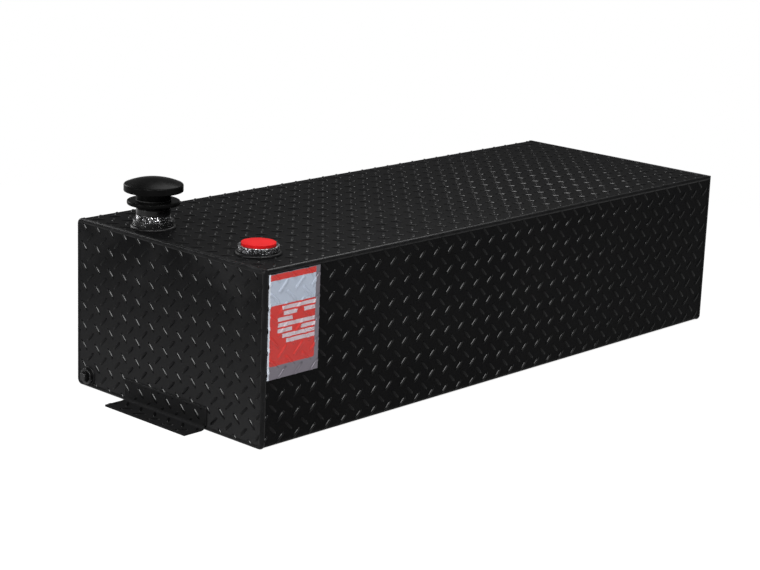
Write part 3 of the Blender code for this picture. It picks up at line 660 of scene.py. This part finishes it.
ripple_tree, ripple = geometry_tree(
    "weld_ripples",
    {"Bead": "Geometry", "Pitch": "Float", "Height": "Float", "Bow": "Float"}
    | {"Wander": "Float", "Coat": "Material"},
)
along, across = (
    add_node(ripple_tree, "GeometryNodeInputNamedAttribute", {"Name": name}, data_type="FLOAT").outputs[0]
    for name in ("along", "across")
)
across_square = times(across, across)
bow = times(minus(1.0, across_square), ripple["Bow"])
drift = step("ShaderNodeTexNoise", {"W": along, "Scale": WANDER_SCALE}, noise_dimensions="1D")
drift = times(minus(drift, 0.5), ripple["Wander"])
phase = calc("ADD", calc("ADD", along, bow), drift)
phase = calc("FRACT", calc("DIVIDE", phase, ripple["Pitch"]))
crest = calc("SINE", times(phase, math.pi))
crest = calc("POWER", calc("ABSOLUTE", crest), RIPPLE_SHARPNESS)
toes_off = minus(1.0, times(across_square, across_square), clamp=True)
lift = times(times(crest, toes_off), ripple["Height"])
outward = ripple_tree.nodes.new("GeometryNodeInputNormal").outputs[0]
raised = step("ShaderNodeVectorMath", {0: outward, "Scale": lift}, operation="SCALE")
rippled = step("GeometryNodeSetPosition", {"Geometry": ripple["Bead"], "Offset": raised})
end_tree(ripple_tree, rippled, ripple["Coat"])


def bead(node, loops, across_share, closed, floor_level=None):
    """Shows a node's rippled bead, through loops of points that follow one another along the joint."""
    loops = np.asarray(loops)
    count, ring = loops.shape[:2]
    gaps = np.linalg.norm(np.diff(loops.mean(axis=1), axis=0, append=loops.mean(axis=1)[:1]), axis=1)
    distance = np.concatenate(([0.0], np.cumsum(gaps)[:-1]))
    run = distance[-1] + (gaps[-1] if closed else 0.0)
    faces = []
    for i in range(count if closed else count - 1):
        j = (i + 1) % count
        for k in range(ring):
            n = (k + 1) % ring
            faces.append((i * ring + k, i * ring + n, j * ring + n, j * ring + k))
    if not closed:
        faces.append(tuple(range(ring)))
        faces.append(tuple((count - 1) * ring + k for k in range(ring)))
    base = bpy.data.meshes.new(node)
    base.from_pydata(loops.reshape(-1, 3).tolist(), [], faces)
    mended(base)
    for attribute, values in (("along", np.repeat(distance, ring)), ("across", np.tile(across_share, count))):
        base.attributes.new(attribute, "FLOAT", "POINT").data.foreach_set("value", values.astype(np.float32))
    pitch = run / round(run / RIPPLE_PITCH)
    values = {"Pitch": pitch, "Height": RIPPLE_HEIGHT, "Bow": RIPPLE_BOW, "Wander": RIPPLE_WANDER}
    mesh = grown(node, ripple_tree, values | {"Coat": weld_coat}, base)
    if floor_level is not None:
        for v in mesh.vertices:
            v.co.z = max(v.co.z, floor_level)
    mesh.shade_smooth()
    mesh.set_sharp_from_angle(angle=math.radians(BEAD_CREASE))
    show(node + "_rippled", mesh, "tank", "coated_weld", node)


CROWN_STEPS = 10
CROWN_RADIUS = 0.005117
CROWN_BACK = 0.004117
CROWN_LEAN = 30.3
ROOT_GAP = 0.0003
lean = math.radians(CROWN_LEAN)
crown_angles = np.linspace(-lean, math.pi / 2 + lean, CROWN_STEPS + 1)
root = ROOT_GAP - SHEET
corner_out = np.append(-CROWN_BACK + CROWN_RADIUS * np.cos(crown_angles), (root, root, ROOT_GAP))
corner_past = np.append(-CROWN_BACK + CROWN_RADIUS * np.sin(crown_angles), (ROOT_GAP, root, root))
corner_across = np.append(np.linspace(-1.0, 1.0, CROWN_STEPS + 1), (1.0, 1.0, 1.0))


def walk(start, end):
    """Points about one bead step apart on a straight line, without its last point."""
    steps = max(1, round(np.linalg.norm(np.subtract(end, start)) / BEAD_STEP))
    return [np.add(start, np.subtract(end, start) * i / steps) for i in range(steps)]


def tank_edge():
    """Stations round an end of the tank, as a point (y, z) and its outward direction, from the seam on."""
    far = HALF_WIDE
    radius = BEND_RADIUS
    clear = 1.2 * CROWN_RADIUS
    stations = [((-far, TANK_HIGH), (-1.0, 1.0))]
    stations += [(p, (-1.0, 0.0)) for p in walk((-far, TANK_HIGH - clear), (-far, radius))]
    arcs = max(4, round(radius * math.pi / 2 / BEAD_STEP))
    corners = (
        ((-far + radius, radius), 180, (far - radius, 0.0), (0.0, -1.0)),
        ((far - radius, radius), 270, (far, TANK_HIGH - radius), (1.0, 0.0)),
        ((far - radius, TANK_HIGH - radius), 0, (-far + clear, TANK_HIGH), (0.0, 1.0)),
    )
    for centre, begin, next_end, out in corners:
        for i in range(arcs):
            angle = math.radians(begin + 90 * i / arcs)
            direction = (math.cos(angle), math.sin(angle))
            stations.append((np.add(centre, np.multiply(direction, radius)), direction))
        begin_next = np.add(centre, np.multiply(out, radius))
        stations += [(p, out) for p in walk(begin_next, next_end)]
    return stations


for side, sign, face in (("left", -1, left_face), ("right", 1, right_face)):
    loops = []
    for point, out in tank_edge():
        y = point[0] + out[0] * corner_past
        z = point[1] + out[1] * corner_past
        loops.append(np.column_stack((face + sign * corner_out, y, z)))
    bead(side + "_end_weld", loops, corner_across, True, 0.0)

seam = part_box("top_seam_weld")
loops = []
for x in np.append(np.arange(seam[0][0], seam[1][0], BEAD_STEP), seam[1][0]):
    across_x = np.full_like(corner_out, x)
    loops.append(np.column_stack((across_x, -HALF_WIDE - corner_past, TANK_HIGH + corner_out)))
bead("top_seam_weld", loops, corner_across, False)

FILLET_POINTS = 8
fillet_angles = np.linspace(0.0, math.pi / 2, FILLET_POINTS)
fillet_across = np.append(np.linspace(-1.0, 1.0, FILLET_POINTS), 1.0)


def fillet(leg):
    """The convex section of a fillet bead, as (away from the wall, up the wall), with its root last."""
    return np.append(leg * np.cos(fillet_angles), 0.0), np.append(leg * np.sin(fillet_angles), 0.0)


for side, sign in (("left", -1), ("right", 1)):
    name = side + "_bracket_weld"
    low_corner, high_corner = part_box(name)
    wall = high_corner[0] if sign < 0 else low_corner[0]
    leg = high_corner[0] - low_corner[0]
    away, out = fillet(leg)
    end, top, low = high_corner[1] - leg, high_corner[2] - leg, low_corner[2]
    stations = [(p, (-1.0, 0.0)) for p in walk((-end, low), (-end, top - leg / 2))]
    stations += [((-end, top), (-1.0, 1.0))]
    stations += [(p, (0.0, 1.0)) for p in walk((-end + leg / 2, top), (end - leg / 2, top))]
    stations += [((end, top), (1.0, 1.0))]
    stations += [(p, (1.0, 0.0)) for p in walk((end, top - leg / 2), (end, low))]
    stations += [((end, low), (1.0, 0.0))]
    loops = []
    for point, way in stations:
        loops.append(np.column_stack((wall + sign * out, point[0] + way[0] * away, point[1] + way[1] * away)))
    bead(name, loops, fillet_across, False)


def ring_bead(node, centre, upright, floor_level=None):
    """A fillet bead round a fitting, which stands up from the top wall or out from the left end."""
    low_corner, high_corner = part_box(node)
    leg = high_corner[2] - low_corner[2] if upright else high_corner[0] - low_corner[0]
    radius = high_corner[1] - centre[1] if upright else high_corner[1] - centre[0]
    away, out = fillet(leg)
    loops = []
    for angle in np.linspace(0.0, 2 * math.pi, round(2 * math.pi * radius / BEAD_STEP), endpoint=False):
        reach = radius - leg + away
        level = low_corner[2] + out if upright else high_corner[0] - out
        first, second = centre[0] + reach * math.cos(angle), centre[1] + reach * math.sin(angle)
        loops.append(np.column_stack((first, second, level) if upright else (level, first, second)))
    bead(node, loops, fillet_across, True, floor_level)


ring_bead("filler_bung_weld", FILLER, True)
ring_bead("pump_bung_weld", PUMP, True)
ring_bead("drain_bung_weld", DRAIN, False, drain_box[0][2])

# Couplings. The filler and the pump each screw into a turned 2 in half coupling that is welded into the
# top. The coat covers them, and is chipped bright on their edges and rings.
CHIP_METAL = (0.50, 0.50, 0.52, 1.0)
CHIP_LEVEL = 0.72
CHIP_SWING = 0.44
CHIP_STEEP = 22.0
CHIP_HEIGHT = 0.00012
TURNED_STEPS = 96
TURNED_ROUND = 40
THREAD_ROWS = 8
THREAD_SHARPNESS = 1.3

chipped_group, given, result = shader_group(
    "chipped_coat",
    ("Coat Colour", "Metal Colour", "Roughness", "Low", "High", "Bare Share", "Chip Scale", "Grain Height"),
    ("Colour", "Roughness", "Metallic", "Normal"),
)
spot = add_node(chipped_group, "ShaderNodeTexCoord").outputs["Object"]
height = step("ShaderNodeSeparateXYZ", {0: spot}, 2)
over_low = calc("GREATER_THAN", height, given["Low"])
inside = times(over_low, calc("LESS_THAN", height, given["High"]))
chips = noise(spot, given["Chip Scale"], 2.0)
edge_level = minus(CHIP_LEVEL, times(given["Bare Share"], CHIP_SWING))
bare = times(minus(chips, edge_level), CHIP_STEEP, clamp=True)
bare = times(bare, inside)
chip_colour = mix_colour(bare, given["Coat Colour"], given["Metal Colour"])
chipped_group.links.new(chip_colour, result["Colour"])
chipped_group.links.new(given["Roughness"], result["Roughness"])
chipped_group.links.new(bare, result["Metallic"])
chipped_group.links.new(bump(chips, given["Grain Height"]), result["Normal"])


def chipped(name, low, high, share, scale, roughness=0.26):
    """A coated look with bare metal showing between two heights, over about a share of the surface."""
    values = (WELD_BLACK, CHIP_METAL, roughness, low, high, share, scale, CHIP_HEIGHT)
    return look_from(name, chipped_group, values, specular=0.2)


def eased(profile, closed, points=5):
    """The profile, as (radius, height, ease) corners, with each corner that has an ease rounded off."""
    corners = [(corner + (0.0,))[:3] for corner in profile]
    eased_profile = []
    for i, (radius, height, ease) in enumerate(corners):
        here = np.array((radius, height))
        at_end = not closed and i in (0, len(corners) - 1)
        if not ease or at_end:
            eased_profile.append(here)
            continue
        before = np.array(corners[i - 1][:2]) - here
        after = np.array(corners[(i + 1) % len(corners)][:2]) - here
        start = here + before / np.linalg.norm(before) * ease
        end = here + after / np.linalg.norm(after) * ease
        for t in np.linspace(0.0, 1.0, points):
            eased_profile.append((1 - t) ** 2 * start + 2 * t * (1 - t) * here + t**2 * end)
    return np.array(eased_profile)


def turned(name, profile, place, look, thread=None, outward=False, steps=TURNED_STEPS):
    """A piece turned about an upright axis, or one that points out of the left end, with a thread if any."""
    closed = profile[0][0] > 0
    section = eased(profile, closed)
    if thread:
        radius, low, high, pitch, depth = thread
        at = next(i for i in range(len(section)) if section[i][1] < low and section[i + 1][1] > high)
        rows = np.linspace(low, high, round((high - low) / pitch * THREAD_ROWS))
        cut = np.column_stack((np.full_like(rows, radius), rows))
        section = np.concatenate((section[: at + 1], cut, section[at + 1 :]))
    angles = np.arange(steps) * 2 * math.pi / steps
    radii = np.repeat(section[:, 0][None], steps, 0)
    heights = np.repeat(section[:, 1][None], steps, 0)
    if thread:
        phase = (heights / pitch - angles[:, None] / (2 * math.pi)) % 1.0
        groove = np.abs(2 * phase - 1) ** THREAD_SHARPNESS
        fade = np.clip(np.minimum(heights - low, high - heights) / pitch, 0.0, 1.0)
        on_thread = (np.abs(radii - radius) < 1e-6) & (heights >= low) & (heights <= high)
        radii = np.where(on_thread, radii - depth * groove * fade, radii)
    first = place[0] + radii * np.cos(angles)[:, None]
    second = place[1] + radii * np.sin(angles)[:, None]
    level = left_face - heights if outward else TANK_HIGH + heights
    points = np.stack((level, first, second) if outward else (first, second, level), axis=-1).reshape(-1, 3)
    ring = len(section)
    faces = []
    for i in range(steps):
        j = (i + 1) % steps
        for k in range(ring if closed else ring - 1):
            n = (k + 1) % ring
            faces.append((i * ring + k, j * ring + k, j * ring + n, i * ring + n))
    mesh = bpy.data.meshes.new(name)
    mesh.from_pydata(points.tolist(), [], faces)
    mended(mesh, join=True)
    return smoothed(mesh, TURNED_ROUND, look)


coupling_profile = [(0.0282, -0.0072), (0.0355, -0.0072, 0.0012), (0.0355, 0.0062)]
for ring in (0.0066, 0.0096, 0.0122):
    coupling_profile += [(0.0355, ring), (0.0352, ring + 0.0003), (0.0355, ring + 0.0006)]
coupling_profile += [(0.0355, 0.0150, 0.0012), (0.0302, 0.0150, 0.0003), (0.0282, 0.0130)]
for node, place, share in (("filler_bung", FILLER, 0.10), ("pump_bung", PUMP, 0.36)):
    coupling_look = chipped("coated_" + node, TANK_HIGH + 0.006, TANK_HIGH + 0.0152, share, 420.0)
    coupling = turned(node, coupling_profile, place, coupling_look)
    show(node + "_turned", coupling, "tank", "coated_fitting", node)

# Filler. A short length of coated pipe screws into the coupling, with some of its thread left showing
# bright, and carries the moulded neck: a collar, a grip flange and the threaded spigot for the cap.
nipple_profile = [(0.0262, -0.0030), (0.0279, -0.0030), (0.0279, 0.01312), (0.03015, 0.01537)]
nipple_profile += [(0.03015, 0.0350, 0.0006), (0.0262, 0.0350, 0.0006)]
nipple_look = chipped("coated_pipe", TANK_HIGH + 0.0150, TANK_HIGH + 0.0228, 0.37, 330.0)
nipple_thread = (0.03015, 0.0158, 0.0262, 0.0022, 0.0008)
nipple = turned("fill_nipple", nipple_profile, FILLER, nipple_look, nipple_thread)
show("fill_nipple_threaded", nipple, "tank", "coated_fitting", "fill_nipple")

MOULDED_BLACK = (0.0012, 0.0012, 0.0012, 1.0)
MOULDED_GREY = (0.0021, 0.0021, 0.0021, 1.0)
MOULDED_FINISH = (0.24, 0.1, 25.0, 900.0, 0.00001)
moulded = finish("moulded_black", MOULDED_BLACK, MOULDED_GREY, MOULDED_FINISH, specular=0.015)
neck_profile = [(0.0235, 0.0200, 0.0004), (0.0259, 0.0200, 0.0004), (0.0259, 0.0353)]
neck_profile += [(0.0305, 0.0353, 0.0004), (0.0305, 0.0417, 0.0008), (0.0463, 0.0417, 0.0024)]
neck_profile += [(0.0463, 0.0487, 0.0024), (0.0275, 0.0487)]
neck_profile += [(0.0275, 0.0607, 0.0006), (0.0235, 0.0607, 0.0006)]
neck = turned("fill_neck", neck_profile, FILLER, moulded, (0.0275, 0.0500, 0.0595, 0.0040, 0.0006))
show("fill_neck_moulded", neck, "tank", "black_plastic", "fill_neck")

# Vented cap. The skirt and web carry a notched brim, and the mushroom hood snaps over it. Air passes
# between them to the relief valve, whose spring presses on the hood. A pierced disc keeps dirt out.
RUBBER_BLACK = (0.012, 0.012, 0.012, 1.0)
RUBBER_GREY = (0.02, 0.02, 0.02, 1.0)
STEEL_BRIGHT = (0.45, 0.45, 0.46, 1.0)
STEEL_DULL = (0.36, 0.36, 0.37, 1.0)
RUBBER_FINISH = (0.7, 0.1, 30.0, 700.0, 0.00003)
STEEL_FINISH = (0.28, 0.1, 60.0, 900.0, 0.00001)
rubber = finish("seal_rubber", RUBBER_BLACK, RUBBER_GREY, RUBBER_FINISH, specular=0.3)
steel = finish("bright_steel", STEEL_BRIGHT, STEEL_DULL, STEEL_FINISH, metallic=1.0)
seal_profile = [(0.0278, 0.0490), (0.0308, 0.0490, 0.0003), (0.0308, 0.0510, 0.0003), (0.0278, 0.0510)]
seal = turned("cap_seal_ring", seal_profile, FILLER, rubber)
show("cap_seal_ring_round", seal, "cap_seal", "seal_rubber", "cap_seal_ring")
SMALL_ROUND = 30
WIRE_ROUND = 50
for node, look, body, slot in (
    ("vent_screen", steel, "cap_screen", "stainless"),
    ("vent_poppet", steel, "relief_valve", "stainless"),
    ("vent_seal", rubber, "relief_valve", "seal_rubber"),
):
    show(node + "_smooth", cad_copy(node, SMALL_ROUND, look), body, slot, node)
wire = cad_copy("vent_spring", WIRE_ROUND, steel)
spring = show("vent_spring_wound", wire, "filler_cap", "stainless", "vent_spring")
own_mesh(spring)

cap_profile = [(0.0060, 0.0633), (0.0281, 0.0633), (0.0281, 0.0513), (0.0308, 0.0513, 0.0004)]
cap_profile += [(0.0308, 0.0667, 0.0020), (0.0492, 0.0667, 0.0003), (0.0492, 0.0692, 0.0003)]
cap_profile += [(0.0281, 0.0692), (0.0252, 0.0663), (0.0060, 0.0663)]
NOTCHES = 8
NOTCH_HALF = 0.0070
NOTCH_IN = 0.0465
NOTCH_LEVEL = 0.068
NOTCH_TOOL = 0.02

body_mesh = turned("cap_body", cap_profile, FILLER, moulded)
notch_tool = bmesh.new()
for i in range(NOTCHES):
    made = bmesh.ops.create_cube(notch_tool, size=1.0)["verts"]
    bmesh.ops.scale(notch_tool, verts=made, vec=(NOTCH_TOOL, 2 * NOTCH_HALF, NOTCH_TOOL))
    notch_place = (NOTCH_IN + NOTCH_TOOL / 2, 0.0, TANK_HIGH + NOTCH_LEVEL)
    bmesh.ops.translate(notch_tool, verts=made, vec=notch_place)
    turn = Matrix.Rotation(2 * math.pi * (i + 0.5) / NOTCHES, 3, "Z")
    bmesh.ops.rotate(notch_tool, verts=made, cent=(0, 0, 0), matrix=turn)
bmesh.ops.translate(notch_tool, verts=notch_tool.verts, vec=(FILLER.x, FILLER.y, 0.0))
notch_mesh = bpy.data.meshes.new("notch_tool")
notch_tool.to_mesh(notch_mesh)
notch_tool.free()
notch_object = put("notch_tool", notch_mesh)
body_holder = put("body_holder", body_mesh)
cut = body_holder.modifiers.new("cut", "BOOLEAN")
cut.operation = "DIFFERENCE"
cut.solver = "EXACT"
cut.object = notch_object
body_cut = settled(body_holder)
bpy.data.objects.remove(notch_object)
show("cap_body_moulded", smoothed(body_cut, TURNED_ROUND, moulded), "filler_cap", "black_plastic", "cap_body")

DOME_SPHERE = 0.12487
CROWN_TOP = 0.0887
CEILING_TOP = 0.0862
HOOD_STEPS = 128


def on_dome(top, radii):
    return [(r, top - DOME_SPHERE + math.sqrt(DOME_SPHERE**2 - r**2)) for r in radii]


hood_profile = [(0.0, 0.0837), (0.0030, 0.0837), (0.0030, 0.0727), (0.0055, 0.0727, 0.0004), (0.0055, 0.0859)]
hood_profile += on_dome(CEILING_TOP, (0.0070, 0.0150, 0.0230, 0.0310, 0.0380, 0.0440, 0.0486))
hood_profile += [(0.0486, 0.0695), (0.0495, 0.0695), (0.0495, 0.0664), (0.0483, 0.0664), (0.0483, 0.0652)]
hood_profile += [(0.0520, 0.0652, 0.0014), (0.0520, 0.0763, 0.0008), (0.0508, 0.0779, 0.0006)]
hood_profile += on_dome(CROWN_TOP, (0.0495, 0.0470, 0.0430, 0.0380, 0.0310, 0.0230, 0.0150, 0.0070, 0.0))
hood = turned("cap_hood", hood_profile, FILLER, moulded, steps=HOOD_STEPS)
show("cap_hood_moulded", hood, "filler_cap", "black_plastic", "cap_hood")

# Pump port plug. A hollow plug moulded in red plastic keeps dirt out of the second coupling until a pump
# is fitted. It is pushed in by hand, and its skirt holds it by friction.
RED = (0.200, 0.0022, 0.0027, 1.0)
RED_WORN = (0.25, 0.0040, 0.0048, 1.0)
RED_FINISH = (0.38, 0.08, 30.0, 900.0, 0.00001)
red = finish("moulded_red", RED, RED_WORN, RED_FINISH, specular=0.04)
plug_profile = [(0.0, 0.0180), (0.0251, 0.0180, 0.0005), (0.0251, 0.0010), (0.0271, 0.0010, 0.0004)]
plug_profile += [(0.0279, 0.01312), (0.0296, 0.01482), (0.0296, 0.0200, 0.0012), (0.0, 0.0200)]
plug = turned("pump_port_plug", plug_profile, PUMP, red)
show("pump_port_plug_moulded", plug, "pump_plug", "red_plastic", "pump_port_plug")

# Drain. A small turned coupling is welded low into the left end, and a pipe plug with a square head screws
# into it. Both are coated with the tank.
SMALL_STEPS = 64
drain_look = chipped("coated_drain", low=0.0, high=1.0, share=0.03, scale=300.0, roughness=0.3)
drain_profile = [(0.0093, -0.0072), (0.0143, -0.0072, 0.0012), (0.0143, 0.0090, 0.0012), (0.0105, 0.0090)]
drain_profile += [(0.0093, 0.0078)]
drain_ring = turned("drain_bung", drain_profile, DRAIN, drain_look, outward=True, steps=SMALL_STEPS)
show("drain_bung_turned", drain_ring, "tank", "coated_fitting", "drain_bung")
HEAD_HALF = 0.00715
HEAD_LOW = 0.0087
HEAD_TOP = 0.0160
HEAD_EASE = 0.0010
shank_profile = [(0.0, -0.0030), (0.0085, -0.0030, 0.0005), (0.0090, 0.0090), (0.0, 0.0090)]
shank = turned("drain_plug", shank_profile, DRAIN, drain_look, outward=True, steps=SMALL_STEPS)
plug_bm = bmesh.new()
head = bmesh.ops.create_cube(plug_bm, size=1.0)["verts"]
bmesh.ops.scale(plug_bm, verts=head, vec=(HEAD_TOP - HEAD_LOW, 2 * HEAD_HALF, 2 * HEAD_HALF))
bmesh.ops.bevel(plug_bm, geom=plug_bm.edges[:], offset=HEAD_EASE, segments=3, affect="EDGES")
head_middle = left_face - (HEAD_TOP + HEAD_LOW) / 2
bmesh.ops.translate(plug_bm, verts=plug_bm.verts, vec=(head_middle, DRAIN.x, DRAIN.y))
plug_bm.from_mesh(shank)
plug_mesh = bpy.data.meshes.new("drain_plug")
plug_bm.to_mesh(plug_mesh)
plug_bm.free()
plug_mesh = smoothed(plug_mesh, SMALL_ROUND, drain_look)
show("drain_plug_square", plug_mesh, "drain_screw", "coated_fitting", "drain_plug")

# Baffles. Two pans folded from bare aluminium plate cross the tank inside and stop the fuel surging. It
# passes them slowly, by their clipped corners and by a hole in the middle.
MILL_BRIGHT = (0.55, 0.56, 0.58, 1.0)
MILL_DULL = (0.46, 0.47, 0.49, 1.0)
MILL_FINISH = (0.36, 0.12, 12.0, 400.0, 0.00002)
mill = finish("mill_metal", MILL_BRIGHT, MILL_DULL, MILL_FINISH, metallic=1.0)
for node in ("baffle_1", "baffle_2"):
    show(node + "_smooth", cad_copy(node, SMALL_ROUND, mill), "tank", "raw_aluminium", node)

# Data label. A printed foil is pressed over the lugs near the front wall's top left corner. Its print is
# left as plain fields: a red head, a pale panel, and a red block with pale entry boxes.
LABEL_STEP = 0.0009
LABEL_THICK = 0.00012
LABEL_OFF = 0.00015
FOIL_SPREAD = 1.12
FOIL_FLANK = 0.36
FOIL_REACH = 1.12
FOIL_GREY = (0.150, 0.138, 0.160, 1.0)
PRINT_RED = (0.195, 0.0065, 0.0045, 1.0)
PANEL_PALE = (0.140, 0.158, 0.190, 1.0)
BOX_PALE = (0.19, 0.160, 0.175, 1.0)
EDGE_WHITE = (0.20, 0.215, 0.24, 1.0)
FIELDS = (
    ("edge", -0.6200, 0.1181, -0.6157, 0.2971, 0.0),
    ("panel", -0.6157, 0.2433, -0.5127, 0.2860, 0.0),
    ("red", -0.6157, 0.1408, -0.5127, 0.2433, 0.0030),
    ("red", -0.6157, 0.2858, -0.5127, 0.2958, 0.0),
    ("box", -0.5888, 0.2342, -0.5130, 0.2403, 0.0006),
    ("box", -0.5850, 0.2242, -0.5547, 0.2308, 0.0006),
    ("box", -0.5388, 0.2242, -0.5130, 0.2308, 0.0006),
    ("box", -0.5980, 0.2150, -0.5655, 0.2213, 0.0006),
    ("box", -0.5980, 0.2053, -0.5130, 0.2117, 0.0006),
    ("box", -0.5983, 0.1958, -0.5655, 0.2020, 0.0006),
    ("box", -0.5452, 0.1958, -0.5130, 0.2020, 0.0006),
    ("box", -0.5872, 0.1862, -0.5130, 0.1925, 0.0006),
    ("box", -0.5780, 0.1767, -0.5130, 0.1833, 0.0006),
)
FIELD_SOFT = 0.0003
PRINT_ROUGH = 0.50
FOIL_ROUGH = 0.38
FOIL_END_POWER = 0.3
INKS = {"edge": EDGE_WHITE, "panel": PANEL_PALE, "red": PRINT_RED, "box": BOX_PALE}

print_outputs = ("Colour", "Roughness", "Metallic")
print_group, given, result = shader_group("label_print", ("Foil Colour",), print_outputs)
spot = add_node(print_group, "ShaderNodeTexCoord").outputs["Object"]
ink = given["Foil Colour"]
bare_foil = 1.0
for kind, low_x, low_z, high_x, high_z, corner in FIELDS:
    centre = ((low_x + high_x) / 2, 0.0, (low_z + high_z) / 2)
    half = ((high_x - low_x) / 2 - corner, 1.0, (high_z - low_z) / 2 - corner)
    offset = vector_step("ABSOLUTE", vector_step("SUBTRACT", spot, centre))
    offset = vector_step("MAXIMUM", vector_step("SUBTRACT", offset, half))
    past = vector_step("LENGTH", offset, output="Value")
    mask = scaled(past, corner, corner + FIELD_SOFT, 1.0, 0.0)
    ink = mix_colour(mask, ink, INKS[kind])
    bare_foil = times(bare_foil, minus(1.0, mask))
print_group.links.new(ink, result["Colour"])
print_group.links.new(bare_foil, result["Metallic"])
print_group.links.new(scaled(bare_foil, 0.0, 1.0, PRINT_ROUGH, FOIL_ROUGH), result["Roughness"])
label_look = look_from("printed_foil", print_group, (FOIL_GREY,), specular=0.25)

label_low, label_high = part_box("data_label")
columns = round((label_high[0] - label_low[0]) / LABEL_STEP) + 1
rows = round((label_high[2] - label_low[2]) / LABEL_STEP) + 1
label_x = np.linspace(label_low[0], label_high[0], columns)
label_z = np.linspace(label_low[2], label_high[2], rows)
grid_x, grid_z = np.meshgrid(label_x, label_z)
press = np.zeros_like(grid_x)
for offset, turn in ((0.0, math.pi / 4), (0.5, -math.pi / 4)):
    from_x = (grid_x - FRONT_LUG_X) / SHEET_PITCH - offset
    from_s = -(grid_z - FRONT_LUG_Z) / SHEET_PITCH - offset
    dx = (from_x - np.round(from_x)) * SHEET_PITCH
    ds = (from_s - np.round(from_s)) * SHEET_PITCH
    u = np.abs(dx * math.cos(turn) + ds * math.sin(turn)) / (LUG_LENGTH * FOIL_REACH / 2)
    v = np.abs(ds * math.cos(turn) - dx * math.sin(turn)) / (LUG_WIDTH * FOIL_SPREAD / 2)
    over = np.clip(1 - u**2, 0, 1) ** FOIL_END_POWER * np.clip((1 - v) / FOIL_FLANK, 0, 1)
    press = np.maximum(press, LUG_HEIGHT * over)
near = label_high[1] - LABEL_OFF - press
front_sheet = np.stack((grid_x, near - LABEL_THICK, grid_z), axis=-1).reshape(-1, 3)
back_sheet = np.stack((grid_x, near, grid_z), axis=-1).reshape(-1, 3)
faces = []
back_first = columns * rows
for i in range(rows - 1):
    for j in range(columns - 1):
        a = i * columns + j
        quad = (a, a + 1, a + columns + 1, a + columns)
        faces += [quad, tuple(back_first + k for k in quad[::-1])]
rim = list(range(columns)) + [i * columns + columns - 1 for i in range(1, rows)]
rim += [(rows - 1) * columns + j for j in range(columns - 2, -1, -1)]
rim += [i * columns for i in range(rows - 2, 0, -1)]
for a, b in zip(rim, rim[1:] + rim[:1]):
    faces.append((b, a, back_first + a, back_first + b))
label_mesh = bpy.data.meshes.new("data_label")
label_mesh.from_pydata(np.concatenate((front_sheet, back_sheet)).tolist(), [], faces)
label_mesh.materials.append(label_look)
label_mesh.shade_smooth()
label_mesh.set_sharp_from_angle(angle=math.radians(BEAD_CREASE))
show("data_label_printed", label_mesh, "tank", "label_foil", "data_label")
